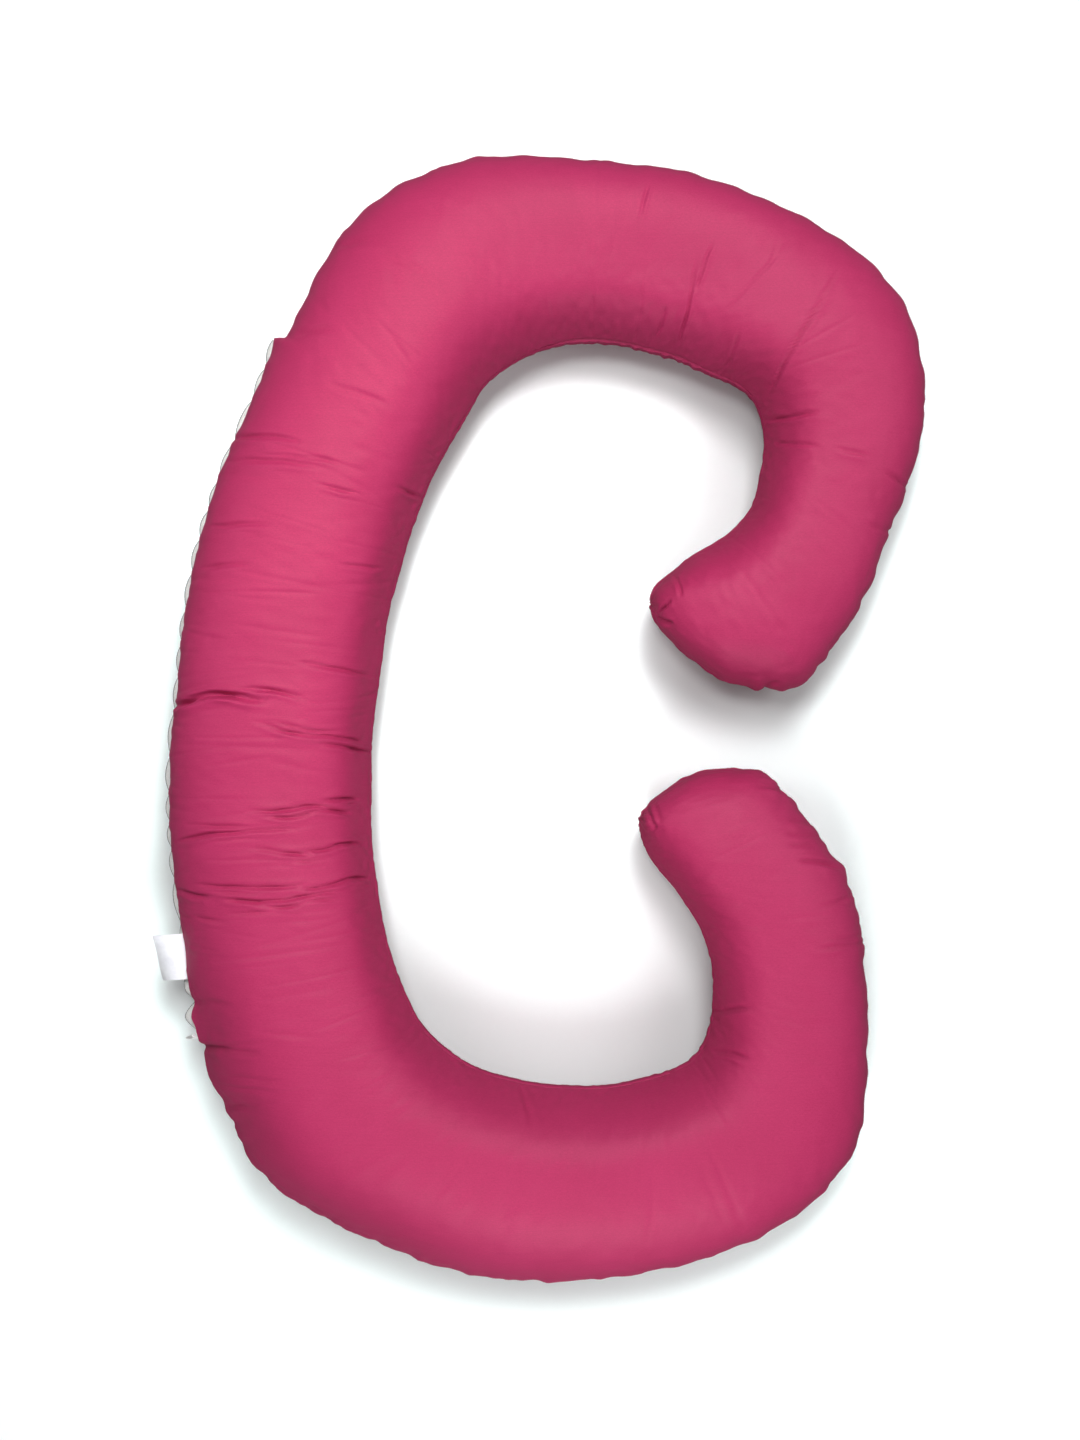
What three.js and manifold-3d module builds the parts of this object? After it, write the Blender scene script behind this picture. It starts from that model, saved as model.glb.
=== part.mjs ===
// A C-shaped body pillow, lying flat on its back: a long stuffed tube of shiny cloth that turns
// through two corners and ends in two blunt noses facing each other. A white zip runs down the outer
// seam of its back, in small arcs, with a slider and pull at its lower end and a blank label beside it.
// Millimetres, +Z up. +Y runs up the C's back and +X points to its open side. The origin is on the
// surface that the pillow lies on, under the middle of its box.
import * as THREE from 'three';
import Module from 'manifold-3d';
import { mergeVertices } from 'three/addons/utils/BufferGeometryUtils.js';

// Driving sizes
const SEAM_SHARE = 0.47; // height of both side seams, as a share of the tube's height
const TOP_FULLNESS = 2.15; // superellipse power of the upper half: 2 is an ellipse, more is fuller
const UNDER_FULLNESS = 2.3; // the same for the lower half
const SEAM_NIP = 2; // how far the seam draws the cloth in
const SWELL_SPREAD = 30; // degrees from the outer seam in which its puckers and gathers die away
const SLENDER = 60; // half width under which folds and gathers shrink with the tube
const FOLD_FADE = [-60, -20]; // heights from the seam between which the folds die away
const RING_ANGLES = [
  0, 7, 14, 26, 42, 60, 78, 96, 114, 132, 148, 161, 171, 180,
  189, 199, 212, 228, 246, 264, 282, 300, 318, 334, 346, 353,
]; // degrees round a section, from the outer seam over the crown to the inner seam and back under
const RING_SPACING = 21; // between sections, away from the zip

const ZIP_FROM_ROW = 20.28; // where the zip starts and ends, counted in rows of SECTIONS
const ZIP_TO_ROW = 30.1;
const ZIP_ARCS = 20; // the cloth's puckers divide the zip into this many arcs
const ARC_STEPS = 4; // sections in one arc
const ARC_UNEVENNESS = 0.3; // how far the arcs' ends stray from even, in arcs
const ARC_RISE = 8; // how far an arc stands out from its ends
const CHANNEL = 4; // depth of the hollow at the seam that the zip lies in
const CHANNEL_EDGES = [7, 14]; // degrees from the seam between which the hollow rises to the cloth
const CHANNEL_END = 2; // how far the hollow runs on past the slider
const CHANNEL_FADE = 8; // length over which it then ends
const PUCKER = 2; // how far the cloth swells out between two arcs
const ZIP_BULGE = 14; // how far the cloth is pushed out where the zip starts
const ZIP_BULGE_RISE = [-6, 3]; // places along the zip between which that bulge rises
const ZIP_BULGE_FADE = 35; // length over which it dies away

const TAPE_ROOT = 11; // height of a tape's sewn edge above or below the seam
const TAPE_THICK = 1.2;
const TAPE_SINK = 0.6; // the cover falls away from the seam by at least this much at a tape's edge
const CHAIN_TALL = 5.4; // the closed coil, across the zip
const CHAIN_THICK = 3;
const CHAIN_GAP = 0.5; // between coil and tape, and between zip and cloth

const SLIDER = { long: 10, tall: 8, thick: 4, corner: 2 };
const BAIL = { radius: 2.6, wire: 0.75 }; // the slider's loop, which holds the pull
const EYE = { long: 2.5, wide: 3.3, edge: 1.3, corner: 0.9 }; // the pull's hole and the rim left at its end
const PULL = { long: 20, wide: 6, thick: 1.8, corner: 1.6, droop: 55, swing: 9, twist: 25 }; // degrees
const LABEL = { long: 41, wide: 57, thick: 1, fromRow: 28.81, above: 15, bends: [26, 86] }; // degrees

const CLOTH = new THREE.MeshStandardMaterial({ color: 0xcd3e6c, roughness: 0.5, metalness: 0 });
const TAPE = new THREE.MeshStandardMaterial({ color: 0xf2f1ee, roughness: 0.8, metalness: 0 });
const NYLON = new THREE.MeshStandardMaterial({ color: 0xf7f7f5, roughness: 0.35, metalness: 0 });
const SATIN = new THREE.MeshStandardMaterial({ color: 0xf5f5f8, roughness: 0.5, metalness: 0 });

// Turns rows of bare numbers into objects with the named columns.
const table = (columns, rows) =>
  rows.map((row) => Object.fromEntries(columns.map((column, i) => [column, row[i]])));

// One row for each section of the tube: where its inner and outer seam are, its highest point, and
// its lowest, which is below zero where the filling is pressed flat on the surface.
const SECTIONS = table(['innerX', 'innerY', 'outerX', 'outerY', 'crown', 'belly'], [
  [138, 145, 138, 145, 74, 74], // nose of the upper end
  [139, 156, 143, 126, 97, 48],
  [145, 168, 158, 105, 120, 24],
  [162, 184, 191, 74, 142, 4],
  [187, 204, 248, 44, 154, -5],
  [215, 220, 325, 45, 160, -8],
  [243, 240, 370, 98, 161, -8],
  [264, 269, 406, 156, 160, -8], // upper arm
  [276, 307, 436, 236, 160, -8],
  [281, 349, 466, 323, 163, -8],
  [275, 383, 478, 404, 166, -8],
  [256, 410, 461, 494, 170, -8], // upper outer corner
  [218, 430, 404, 570, 173, -8],
  [175, 448, 304, 631, 174, -8],
  [125, 463, 188, 675, 174, -8], // top
  [74, 471, 86, 688, 175, -8],
  [24, 468, -14, 696, 178, -8],
  [-22, 451, -108, 687, 183, -8],
  [-60, 425, -193, 648, 187, -8], // shoulder of the back
  [-86, 388, -254, 585, 189, -8],
  [-112, 343, -300, 500, 188, -8],
  [-137, 296, -367, 370, 187, -8],
  [-159, 236, -401, 286, 186, -8], // back
  [-178, 174, -425, 208, 186, -8],
  [-193, 106, -440, 124, 186, -8],
  [-203, 31, -449, 37, 186, -8],
  [-209, -44, -458, -44, 187, -8],
  [-211, -118, -458, -122, 187, -8],
  [-206, -186, -452, -199, 187, -8],
  [-194, -255, -441, -280, 188, -8],
  [-174, -327, -428, -375, 190, -8],
  [-145, -381, -396, -471, 191, -8], // lower corner of the back
  [-98, -423, -341, -571, 191, -8],
  [-33, -448, -205, -650, 188, -8],
  [36, -457, -51, -695, 185, -8], // bottom
  [99, -454, 99, -689, 182, -8],
  [154, -441, 231, -656, 179, -8],
  [194, -419, 331, -602, 175, -8], // lower outer corner
  [210, -388, 390, -529, 171, -8],
  [216, -349, 407, -425, 166, -8],
  [215, -308, 405, -329, 162, -8], // lower arm
  [201, -261, 397, -249, 160, -8],
  [179, -226, 376, -185, 159, -8],
  [154, -196, 326, -116, 157, -8],
  [137, -170, 281, -67, 150, -5],
  [129, -151, 206, -65, 136, 6],
  [125, -136, 152, -92, 114, 28],
  [124, -129, 133, -110, 94, 52],
  [125, -120, 125, -120, 74, 74], // nose of the lower end
]);

// The main folds of the cover, each drawn on the plan from one end to the other. A bow pushes its
// middle to the left of that line, and a depth below zero raises a roll of cloth.
const FOLDS = table(['fromX', 'fromY', 'toX', 'toY', 'bow', 'depth', 'halfWidth'], [
  [-480, 6, -334, 20, 14, 10, 9], // the deep fold in the back
  [-373, 42, -290, 22, 5, 3.5, 9],
  [-350, 4, -236, -20, -3, 5, 9],
  [-270, -31, -200, -42, 2, 5, 9],
  [-356, -113, -240, -118, 4, 4.5, 9],
  [-270, -99, -232, -97, 0, 3.5, 9],
  [-475, -153, -290, -134, 3, 6, 9],
  [-350, -160, -224, -154, -4, 4, 9],
  [-300, -202, -216, -190, -3, 4, 9],
  [-425, -204, -290, -208, -4, 4.5, 9],
  [-400, -221, -262, -214, -6, 6, 9],
  [-300, 72, -200, 54, 2, 4.5, 9],
  [-292, 108, -220, 92, 2, 3.5, 9],
  [-426, 240, -344, 246, 3, 4, 9],
  [-375, 352, -300, 350, 5, 3.5, 9],
  [-350, 336, -212, 318, 4, 4.5, 9],
  [-470, -345, -390, -356, 0, 6, 10],
  [-440, -408, -330, -415, 3, 6, 12],
  [-470, -436, -380, -442, 0, -5, 14],
  [288, 372, 350, 382, 0, 4, 14],
  [430, 308, 470, 284, 0, 4, 12],
  [262, -76, 325, -98, 0, 5, 10],
  [322, -172, 392, -190, 0, 5, 10],
]);

// Gathers in the outer seam away from the zip, two waves over each other. They begin between these
// numbers of rows from each nose.
const GATHERED_FROM = [1, 4];
const GATHERS = table(['height', 'pitch', 'phase'], [
  [1.2, 52, 0],
  [0.9, 86, 1],
]);

// Small helpers
const radians = THREE.MathUtils.degToRad;
const { clamp, lerp, smoothstep } = THREE.MathUtils;
const lastRow = SECTIONS.length - 1;
const signedPower = (value, power) => Math.sign(value) * Math.abs(value) ** power;
const edgeCurve = (x, y, z) =>
  new THREE.CatmullRomCurve3(
    SECTIONS.map((row) => new THREE.Vector3(row[x], row[y], row[z])), false, 'catmullrom', 0.5);
const innerCurve = edgeCurve('innerX', 'innerY', 'crown');
const outerCurve = edgeCurve('outerX', 'outerY', 'belly');

// The frame of the section at a row: its middle, its outward direction and its sizes.
function sectionAt(row) {
  const inner = innerCurve.getPoint(row / lastRow);
  const outer = outerCurve.getPoint(row / lastRow);
  const crown = inner.z;
  const belly = outer.z;
  inner.z = 0;
  outer.z = 0;
  const outward = outer.clone().sub(inner);
  const halfWidth = outward.length() / 2;
  outward.normalize();
  const middle = inner.clone().add(outer).multiplyScalar(0.5);
  return { middle, outward, halfWidth, crown, belly, seam: belly + SEAM_SHARE * (crown - belly) };
}

// Running length of the outer seam, and of the mean of both seams, at every fine step of the rows.
const FINE_STEPS = 40;
function runningLengths() {
  const lengths = [{ row: 0, outer: 0, mean: 0 }];
  for (let i = 1; i <= lastRow * FINE_STEPS; i++) {
    const [a, b] = [(i - 1) / FINE_STEPS / lastRow, i / FINE_STEPS / lastRow];
    const step = (curve) =>
      Math.hypot(curve.getPoint(b).x - curve.getPoint(a).x, curve.getPoint(b).y - curve.getPoint(a).y);
    const before = lengths[i - 1];
    const outer = step(outerCurve);
    lengths.push({
      row: i / FINE_STEPS,
      outer: before.outer + outer,
      mean: before.mean + (outer + step(innerCurve)) / 2,
    });
  }
  return lengths;
}
const LENGTHS = runningLengths();

const lengthAt = (row, kind) => {
  const place = clamp(row, 0, lastRow) * FINE_STEPS;
  const low = Math.min(Math.floor(place), LENGTHS.length - 2);
  return lerp(LENGTHS[low][kind], LENGTHS[low + 1][kind], place - low);
};

const ZIP_START = lengthAt(ZIP_FROM_ROW, 'outer');
const ZIP_LENGTH = lengthAt(ZIP_TO_ROW, 'outer') - ZIP_START;

// How many arcs of the zip lie before this row. Their ends are a little uneven.
function arcsBefore(row) {
  const share = (lengthAt(row, 'outer') - ZIP_START) / ZIP_LENGTH;
  return ZIP_ARCS * share + ARC_UNEVENNESS * Math.sin(7 * Math.PI * share) * Math.cos(4 * share);
}

// 0 at the ends of an arc and 1 in its middle, and 0 away from the zip.
function arcRise(row) {
  const arcs = arcsBefore(row);
  return arcs <= 0 || arcs >= ZIP_ARCS ? 0 : Math.abs(Math.sin(Math.PI * arcs)) ** 0.8;
}

// Share of the zip's hollow at this row: 1 along the zip and its slider, fading out past them.
function channelShare(row) {
  const along = lengthAt(row, 'outer') - ZIP_START;
  const past = Math.max(-along, along - ZIP_LENGTH - SLIDER.long - CHANNEL_END, 0);
  return clamp(1 - past / CHANNEL_FADE, 0, 1);
}

// How far the outer seam is pushed out at this row by the zip's start and by gathers in the cloth.
function seamBulge(row) {
  const along = lengthAt(row, 'outer') - ZIP_START;
  const rise = smoothstep(along, ...ZIP_BULGE_RISE);
  const zipStart = ZIP_BULGE * rise * Math.exp(-Math.max(along, 0) / ZIP_BULGE_FADE);
  const ends = smoothstep(Math.min(row, lastRow - row), ...GATHERED_FROM);
  const wave = ({ height, pitch, phase }) => height * Math.sin((2 * Math.PI * along) / pitch + phase);
  const gathers = GATHERS.reduce((sum, each) => sum + wave(each), 0);
  const inZip = channelShare(row);
  return zipStart + inZip * PUCKER * (1 - arcRise(row)) + (1 - inZip) * ends * gathers;
}

// Depth of the main folds over a point of the plan.
function foldDepth(x, y) {
  let depth = 0;
  for (const fold of FOLDS) {
    const runX = fold.toX - fold.fromX;
    const runY = fold.toY - fold.fromY;
    const long = Math.hypot(runX, runY);
    const along = ((x - fold.fromX) * runX + (y - fold.fromY) * runY) / long ** 2;
    if (along <= 0 || along >= 1) continue;
    const bow = fold.bow * 4 * along * (1 - along);
    const off = ((y - fold.fromY) * runX - (x - fold.fromX) * runY) / long - bow;
    depth += fold.depth * Math.sin(Math.PI * along) ** 0.6 * Math.exp(-((off / fold.halfWidth) ** 2));
  }
  return depth;
}

// A point of the stuffed cover, at a row and an angle round its section.
function coverPoint(row, degrees) {
  const at = sectionAt(row);
  const cos = Math.cos(radians(degrees));
  const sin = Math.sin(radians(degrees));
  const over = sin >= 0;
  const power = 2 / (over ? TOP_FULLNESS : UNDER_FULLNESS);
  const reach = over ? at.crown - at.seam : at.seam - at.belly;
  let across = at.halfWidth * signedPower(cos, power);
  let height = at.seam + reach * signedPower(sin, power);

  const size = clamp(at.halfWidth / SLENDER, 0, 1);
  const fromOuter = Math.min(degrees, 360 - degrees);
  const channel = channelShare(row) * CHANNEL * (1 - smoothstep(fromOuter, ...CHANNEL_EDGES));
  const nip = channel === 0 && degrees % 180 === 0 ? SEAM_NIP * Math.sign(cos) : 0;
  const swell = seamBulge(row) * Math.exp(-((fromOuter / SWELL_SPREAD) ** 2));
  across += size * (swell - channel - nip);

  const flat = at.middle.clone().addScaledVector(at.outward, across);
  const sink = size * smoothstep(height - at.seam, ...FOLD_FADE) * foldDepth(flat.x, flat.y);
  const slope = new THREE.Vector2(cos * reach, sin * at.halfWidth).normalize();
  flat.addScaledVector(at.outward, -sink * slope.x);
  height -= sink * slope.y;
  return new THREE.Vector3(flat.x, flat.y, Math.max(height, 0));
}

// Rows evenly spaced by length between two rows.
function evenRows(from, to, spacing) {
  const total = lengthAt(to, 'mean') - lengthAt(from, 'mean');
  const count = Math.round(total / spacing);
  const rows = [];
  for (let i = 0; i < count; i++) {
    const wanted = lengthAt(from, 'mean') + (total * i) / count;
    rows.push(LENGTHS.find((step) => step.mean >= wanted).row);
  }
  return rows;
}

// Rows at every quarter of the zip's arcs.
function zipRows() {
  const rows = [];
  for (let i = 0; i <= ZIP_ARCS * ARC_STEPS; i++) {
    const reached = (row) => row >= ZIP_FROM_ROW && arcsBefore(row) >= i / ARC_STEPS;
    rows.push(LENGTHS.find((step) => reached(step.row)).row);
  }
  return rows;
}

// A closed body through rings of equal size. An end of one point closes to that point, and any other
// end is filled by strips from the first half of its ring to the second. A face between two rings is
// split along its shorter diagonal, so that the two sides of a thin twisted strip are split alike.
function loft(rings) {
  const positions = [];
  const indices = [];
  const starts = rings.map((ring) => {
    const start = positions.length / 3;
    ring.forEach((point) => positions.push(point.x, point.y, point.z));
    return start;
  });
  const size = Math.max(...rings.map((ring) => ring.length));
  const pick = (k, i) => starts[k] + (rings[k].length === 1 ? 0 : i % size);
  const apart = (p, q) => Math.hypot(...[0, 1, 2].map((k) => positions[3 * p + k] - positions[3 * q + k]));
  for (let k = 0; k + 1 < rings.length; k++) {
    for (let i = 0; i < size; i++) {
      const [a, b, c, d] = [pick(k, i), pick(k, i + 1), pick(k + 1, i + 1), pick(k + 1, i)];
      const shorter = apart(a, c) <= apart(b, d);
      if (a !== b) indices.push(a, b, shorter ? c : d);
      if (c !== d) indices.push(shorter ? a : b, c, d);
    }
  }
  for (const [k, flip] of [[0, true], [rings.length - 1, false]]) {
    if (rings[k].length === 1) continue;
    for (let i = 0; i + 1 < size / 2; i++) {
      const [a, b, c, d] = [i, i + 1, size - 2 - i, size - 1 - i].map((each) => pick(k, each));
      indices.push(...(flip ? [a, c, b, a, d, c] : [a, b, c, a, c, d]));
    }
  }
  const geometry = new THREE.BufferGeometry();
  geometry.setAttribute('position', new THREE.Float32BufferAttribute(positions, 3));
  geometry.setIndex(indices);
  return facingOut(geometry);
}

// Six times the signed volume is the sum of the triple products of the faces.
function facingOut(geometry) {
  const index = geometry.getIndex().array;
  const position = geometry.getAttribute('position');
  const [a, b, c] = [new THREE.Vector3(), new THREE.Vector3(), new THREE.Vector3()];
  let volume = 0;
  for (let i = 0; i < index.length; i += 3) {
    a.fromBufferAttribute(position, index[i]);
    b.fromBufferAttribute(position, index[i + 1]);
    c.fromBufferAttribute(position, index[i + 2]);
    volume += a.dot(b.cross(c));
  }
  if (volume < 0) {
    for (let i = 0; i < index.length; i += 3) [index[i], index[i + 1]] = [index[i + 1], index[i]];
  }
  geometry.computeVertexNormals();
  return geometry;
}

// The stuffed cover, one closed body from nose to nose.
function pillow() {
  const rows = [
    ...evenRows(0, ZIP_FROM_ROW, RING_SPACING),
    ...zipRows(),
    ...evenRows(ZIP_TO_ROW, lastRow, RING_SPACING).slice(1),
    lastRow,
  ];
  const rings = rows.map((row) =>
    row === 0 || row === lastRow
      ? [coverPoint(row, 0)]
      : RING_ANGLES.map((degrees) => coverPoint(row, degrees)));
  return loft(rings);
}

// A point by the outer seam: so far out from the bottom of the zip's hollow, and so high above it.
function besideSeam(row, out, up) {
  const at = sectionAt(row);
  const floor = coverPoint(row, 0);
  return new THREE.Vector3(floor.x, floor.y, at.seam + up).addScaledVector(at.outward, out);
}

// How far out the inner face of the tape lies at the coil.
const chainOut = (row) => 2 * CHAIN_GAP + ARC_RISE * arcRise(row);

// One tape of the zip: sewn flat to the cover at its root, lifted with the coil in every arc.
function zipTape(side) {
  const beside = CHAIN_TALL / 2 + CHAIN_GAP;
  return loft(zipRows().map((row) => [
    besideSeam(row, CHAIN_GAP - TAPE_SINK, side * TAPE_ROOT),
    besideSeam(row, CHAIN_GAP - TAPE_SINK + TAPE_THICK, side * TAPE_ROOT),
    besideSeam(row, chainOut(row) + TAPE_THICK, side * beside),
    besideSeam(row, chainOut(row), side * beside),
  ]));
}

// The closed coil between the tapes, eight-sided.
function zipChain() {
  const half = CHAIN_TALL / 2;
  const corner = CHAIN_THICK / 3;
  const outline = [
    [0, -half + corner], [corner, -half], [CHAIN_THICK - corner, -half], [CHAIN_THICK, -half + corner],
    [CHAIN_THICK, half - corner], [CHAIN_THICK - corner, half], [corner, half], [0, half - corner],
  ];
  return loft(zipRows().map((row) =>
    outline.map(([out, up]) => besideSeam(row, chainOut(row) - CHAIN_GAP + out, up))));
}

const wasm = await Module();
wasm.setup();

// Between three.js geometries and manifold solids, to join and to cut.
function toSolid(geometry) {
  const bare = geometry.clone();
  bare.deleteAttribute('normal');
  bare.deleteAttribute('uv');
  const merged = mergeVertices(bare);
  return new wasm.Manifold(new wasm.Mesh({
    numProp: 3,
    vertProperties: new Float32Array(merged.getAttribute('position').array),
    triVerts: new Uint32Array(merged.getIndex().array),
  }));
}

function toGeometry(solid) {
  const mesh = solid.getMesh();
  const geometry = new THREE.BufferGeometry();
  geometry.setAttribute('position', new THREE.Float32BufferAttribute(mesh.vertProperties, 3));
  geometry.setIndex(Array.from(mesh.triVerts));
  geometry.computeVertexNormals();
  return geometry;
}

// A flat plate with round corners, its middle at the origin and its thickness along Z.
function plate(long, wide, thick, corner) {
  const shape = new THREE.Shape();
  const [x, y] = [long / 2, wide / 2];
  shape.moveTo(-x + corner, -y);
  shape.lineTo(x - corner, -y);
  shape.absarc(x - corner, -y + corner, corner, -Math.PI / 2, 0);
  shape.lineTo(x, y - corner);
  shape.absarc(x - corner, y - corner, corner, 0, Math.PI / 2);
  shape.lineTo(-x + corner, y);
  shape.absarc(-x + corner, y - corner, corner, Math.PI / 2, Math.PI);
  shape.lineTo(-x, -y + corner);
  shape.absarc(-x + corner, -y + corner, corner, Math.PI, Math.PI * 1.5);
  const options = { depth: thick, bevelEnabled: false, curveSegments: 3 };
  return new THREE.ExtrudeGeometry(shape, options).translate(0, 0, -thick / 2);
}

// The slider, its thickness along Z: a rounded body and a loop that stands on it.
function slider() {
  const body = plate(SLIDER.long, SLIDER.tall, SLIDER.thick, SLIDER.corner);
  const loop = new THREE.TorusGeometry(BAIL.radius, BAIL.wire, 6, 14);
  loop.rotateX(Math.PI / 2); // the ring stands up from the body, along its length
  loop.translate(0, 0, SLIDER.thick / 2 + BAIL.radius - BAIL.wire);
  return toGeometry(toSolid(body).add(toSolid(loop)));
}

// The pull, its root at the origin and its length along X, with the eye that the loop runs through.
function pull() {
  const root = PULL.long / 2 - EYE.edge - EYE.long / 2;
  const tab = plate(PULL.long, PULL.wide, PULL.thick, PULL.corner).translate(root, 0, 0);
  const hole = plate(EYE.long, EYE.wide, PULL.thick * 2, EYE.corner);
  return toGeometry(toSolid(tab).subtract(toSolid(hole)));
}

// A blank label, sewn in above the zip. It bends down over the zip, and more so at its lower end.
function label() {
  const steps = 6;
  const start = lengthAt(LABEL.fromRow, 'outer');
  const rowAlong = (share) => LENGTHS.find((step) => step.outer >= start + LABEL.wide * share).row;
  const root = besideSeam(rowAlong(0), CHAIN_GAP, LABEL.above);
  const end = besideSeam(rowAlong(1), CHAIN_GAP, LABEL.above);
  const outward = sectionAt(rowAlong(0.5)).outward;
  const rings = [];
  for (let i = 0; i <= steps; i++) {
    const base = root.clone().lerp(end, i / steps);
    const bend = radians(lerp(...LABEL.bends, i / steps));
    const radius = LABEL.long / bend;
    const point = (t, r) => base.clone()
      .addScaledVector(outward, r * Math.sin(bend * t))
      .add(new THREE.Vector3(0, 0, r * Math.cos(bend * t) - radius));
    const ring = [];
    for (let k = 0; k <= steps; k++) ring.push(point(k / steps, radius));
    for (let k = steps; k >= 0; k--) ring.push(point(k / steps, radius + LABEL.thick));
    rings.push(ring);
  }
  return loft(rings);
}

// The scene: every piece is a named mesh.
const pillowGroup = new THREE.Group();

function add(name, geometry, material, parent = pillowGroup) {
  const mesh = new THREE.Mesh(geometry, material);
  mesh.name = name;
  parent.add(mesh);
  return mesh;
}

add('pillow', pillow(), CLOTH);
add('zip_tape_upper', zipTape(1), TAPE);
add('zip_tape_lower', zipTape(-1), TAPE);
add('zip_chain', zipChain(), NYLON);
add('care_label', label(), SATIN);

// The slider sits just past the coil. Its X axis runs along the seam and its Z axis points outward.
const sliderRow = LENGTHS.find(
  (step) => step.outer >= ZIP_START + ZIP_LENGTH + SLIDER.long / 2 + CHAIN_GAP).row;
const outward = sectionAt(sliderRow).outward;
const up = new THREE.Vector3(0, 0, 1);
const sliderGroup = new THREE.Group();
sliderGroup.position.copy(besideSeam(sliderRow, 2 * CHAIN_GAP + SLIDER.thick / 2, 0));
sliderGroup.setRotationFromMatrix(
  new THREE.Matrix4().makeBasis(new THREE.Vector3().crossVectors(up, outward), up, outward));
pillowGroup.add(sliderGroup);
add('zip_slider', slider(), NYLON, sliderGroup);

// The pull hangs from the outer end of the slider's loop.
const pullGroup = new THREE.Group();
pullGroup.position.set(0, 0, SLIDER.thick / 2 + 2 * BAIL.radius - BAIL.wire);
pullGroup.rotation.x = radians(PULL.droop);
sliderGroup.add(pullGroup);
const pullMesh = add('zip_pull', pull(), NYLON, pullGroup);
pullMesh.rotation.set(radians(PULL.twist), radians(PULL.swing - 90), 0, 'YXZ');

export default pillowGroup;
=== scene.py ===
# %% [markdown]
# # A C-shaped body pillow
#
# The pillow is a long stuffed tube of shiny cloth, turned into a C. Two flat panels are sewn together
# all round the outline and filled, so one seam runs round the tube at mid height. A white zip lies in
# the outer seam of the back. It is seen from straight above, lying on a pale floor.
#
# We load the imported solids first. They fix every size and place, and each piece made here stands for
# one of them.

# %% Load the frame
import math

import bpy
import numpy as np
from mathutils import Matrix, Vector


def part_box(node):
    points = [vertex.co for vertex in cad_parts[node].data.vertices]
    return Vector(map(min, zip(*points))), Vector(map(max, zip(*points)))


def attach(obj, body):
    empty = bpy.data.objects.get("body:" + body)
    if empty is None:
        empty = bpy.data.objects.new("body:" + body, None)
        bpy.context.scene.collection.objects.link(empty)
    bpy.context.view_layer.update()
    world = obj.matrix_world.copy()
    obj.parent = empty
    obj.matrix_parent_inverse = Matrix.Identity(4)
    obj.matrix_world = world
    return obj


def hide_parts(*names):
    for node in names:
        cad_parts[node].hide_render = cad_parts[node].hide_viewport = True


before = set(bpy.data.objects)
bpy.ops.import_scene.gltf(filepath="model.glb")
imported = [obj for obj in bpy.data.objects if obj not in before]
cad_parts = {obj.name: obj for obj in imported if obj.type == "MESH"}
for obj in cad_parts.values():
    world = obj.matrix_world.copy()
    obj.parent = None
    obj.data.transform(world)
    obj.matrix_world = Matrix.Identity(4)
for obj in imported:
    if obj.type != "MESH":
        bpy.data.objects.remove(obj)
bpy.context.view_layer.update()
scene = bpy.context.scene
MM = 0.001
print("solids in the frame:", sorted(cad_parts))


# %% [markdown]
# ## The shape as a table
#
# A tube that bends in the plane is easiest to hold as sections: for each one, where the inner and the
# outer seam are, how high the crown is and how low the belly. The filling is pressed flat on the
# floor, so the belly is given below zero and cut off at the floor. A smooth curve through each column
# gives every section between. The values are the same as the solid's, in millimetres.

# %% Sections of the tube
def named(columns, rows):
    """One array for each named column of a table."""
    return dict(zip(columns.split(), np.array(rows, float).T))


SECTIONS = named("innerX innerY outerX outerY crown belly", [
    (138, 145, 138, 145, 74, 74),  # nose of the upper end
    (139, 156, 143, 126, 97, 48),
    (145, 168, 158, 105, 120, 24),
    (162, 184, 191, 74, 142, 4),
    (187, 204, 248, 44, 154, -5),
    (215, 220, 325, 45, 160, -8),
    (243, 240, 370, 98, 161, -8),
    (264, 269, 406, 156, 160, -8),  # upper arm
    (276, 307, 436, 236, 160, -8),
    (281, 349, 466, 323, 163, -8),
    (275, 383, 478, 404, 166, -8),
    (256, 410, 461, 494, 170, -8),  # upper outer corner
    (218, 430, 404, 570, 173, -8),
    (175, 448, 304, 631, 174, -8),
    (125, 463, 188, 675, 174, -8),  # top
    (74, 471, 86, 688, 175, -8),
    (24, 468, -14, 696, 178, -8),
    (-22, 451, -108, 687, 183, -8),
    (-60, 425, -193, 648, 187, -8),  # shoulder of the back
    (-86, 388, -254, 585, 189, -8),
    (-112, 343, -300, 500, 188, -8),
    (-137, 296, -367, 370, 187, -8),
    (-159, 236, -401, 286, 186, -8),  # back
    (-178, 174, -425, 208, 186, -8),
    (-193, 106, -440, 124, 186, -8),
    (-203, 31, -449, 37, 186, -8),
    (-209, -44, -458, -44, 187, -8),
    (-211, -118, -458, -122, 187, -8),
    (-206, -186, -452, -199, 187, -8),
    (-194, -255, -441, -280, 188, -8),
    (-174, -327, -428, -375, 190, -8),
    (-145, -381, -396, -471, 191, -8),  # lower corner of the back
    (-98, -423, -341, -571, 191, -8),
    (-33, -448, -205, -650, 188, -8),
    (36, -457, -51, -695, 185, -8),  # bottom
    (99, -454, 99, -689, 182, -8),
    (154, -441, 231, -656, 179, -8),
    (194, -419, 331, -602, 175, -8),  # lower outer corner
    (210, -388, 390, -529, 171, -8),
    (216, -349, 407, -425, 166, -8),
    (215, -308, 405, -329, 162, -8),  # lower arm
    (201, -261, 397, -249, 160, -8),
    (179, -226, 376, -185, 159, -8),
    (154, -196, 326, -116, 157, -8),
    (137, -170, 281, -67, 150, -5),
    (129, -151, 206, -65, 136, 6),
    (125, -136, 152, -92, 114, 28),
    (124, -129, 133, -110, 94, 52),
    (125, -120, 125, -120, 74, 74),  # nose of the lower end
])
LAST_ROW = len(SECTIONS["crown"]) - 1
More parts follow.
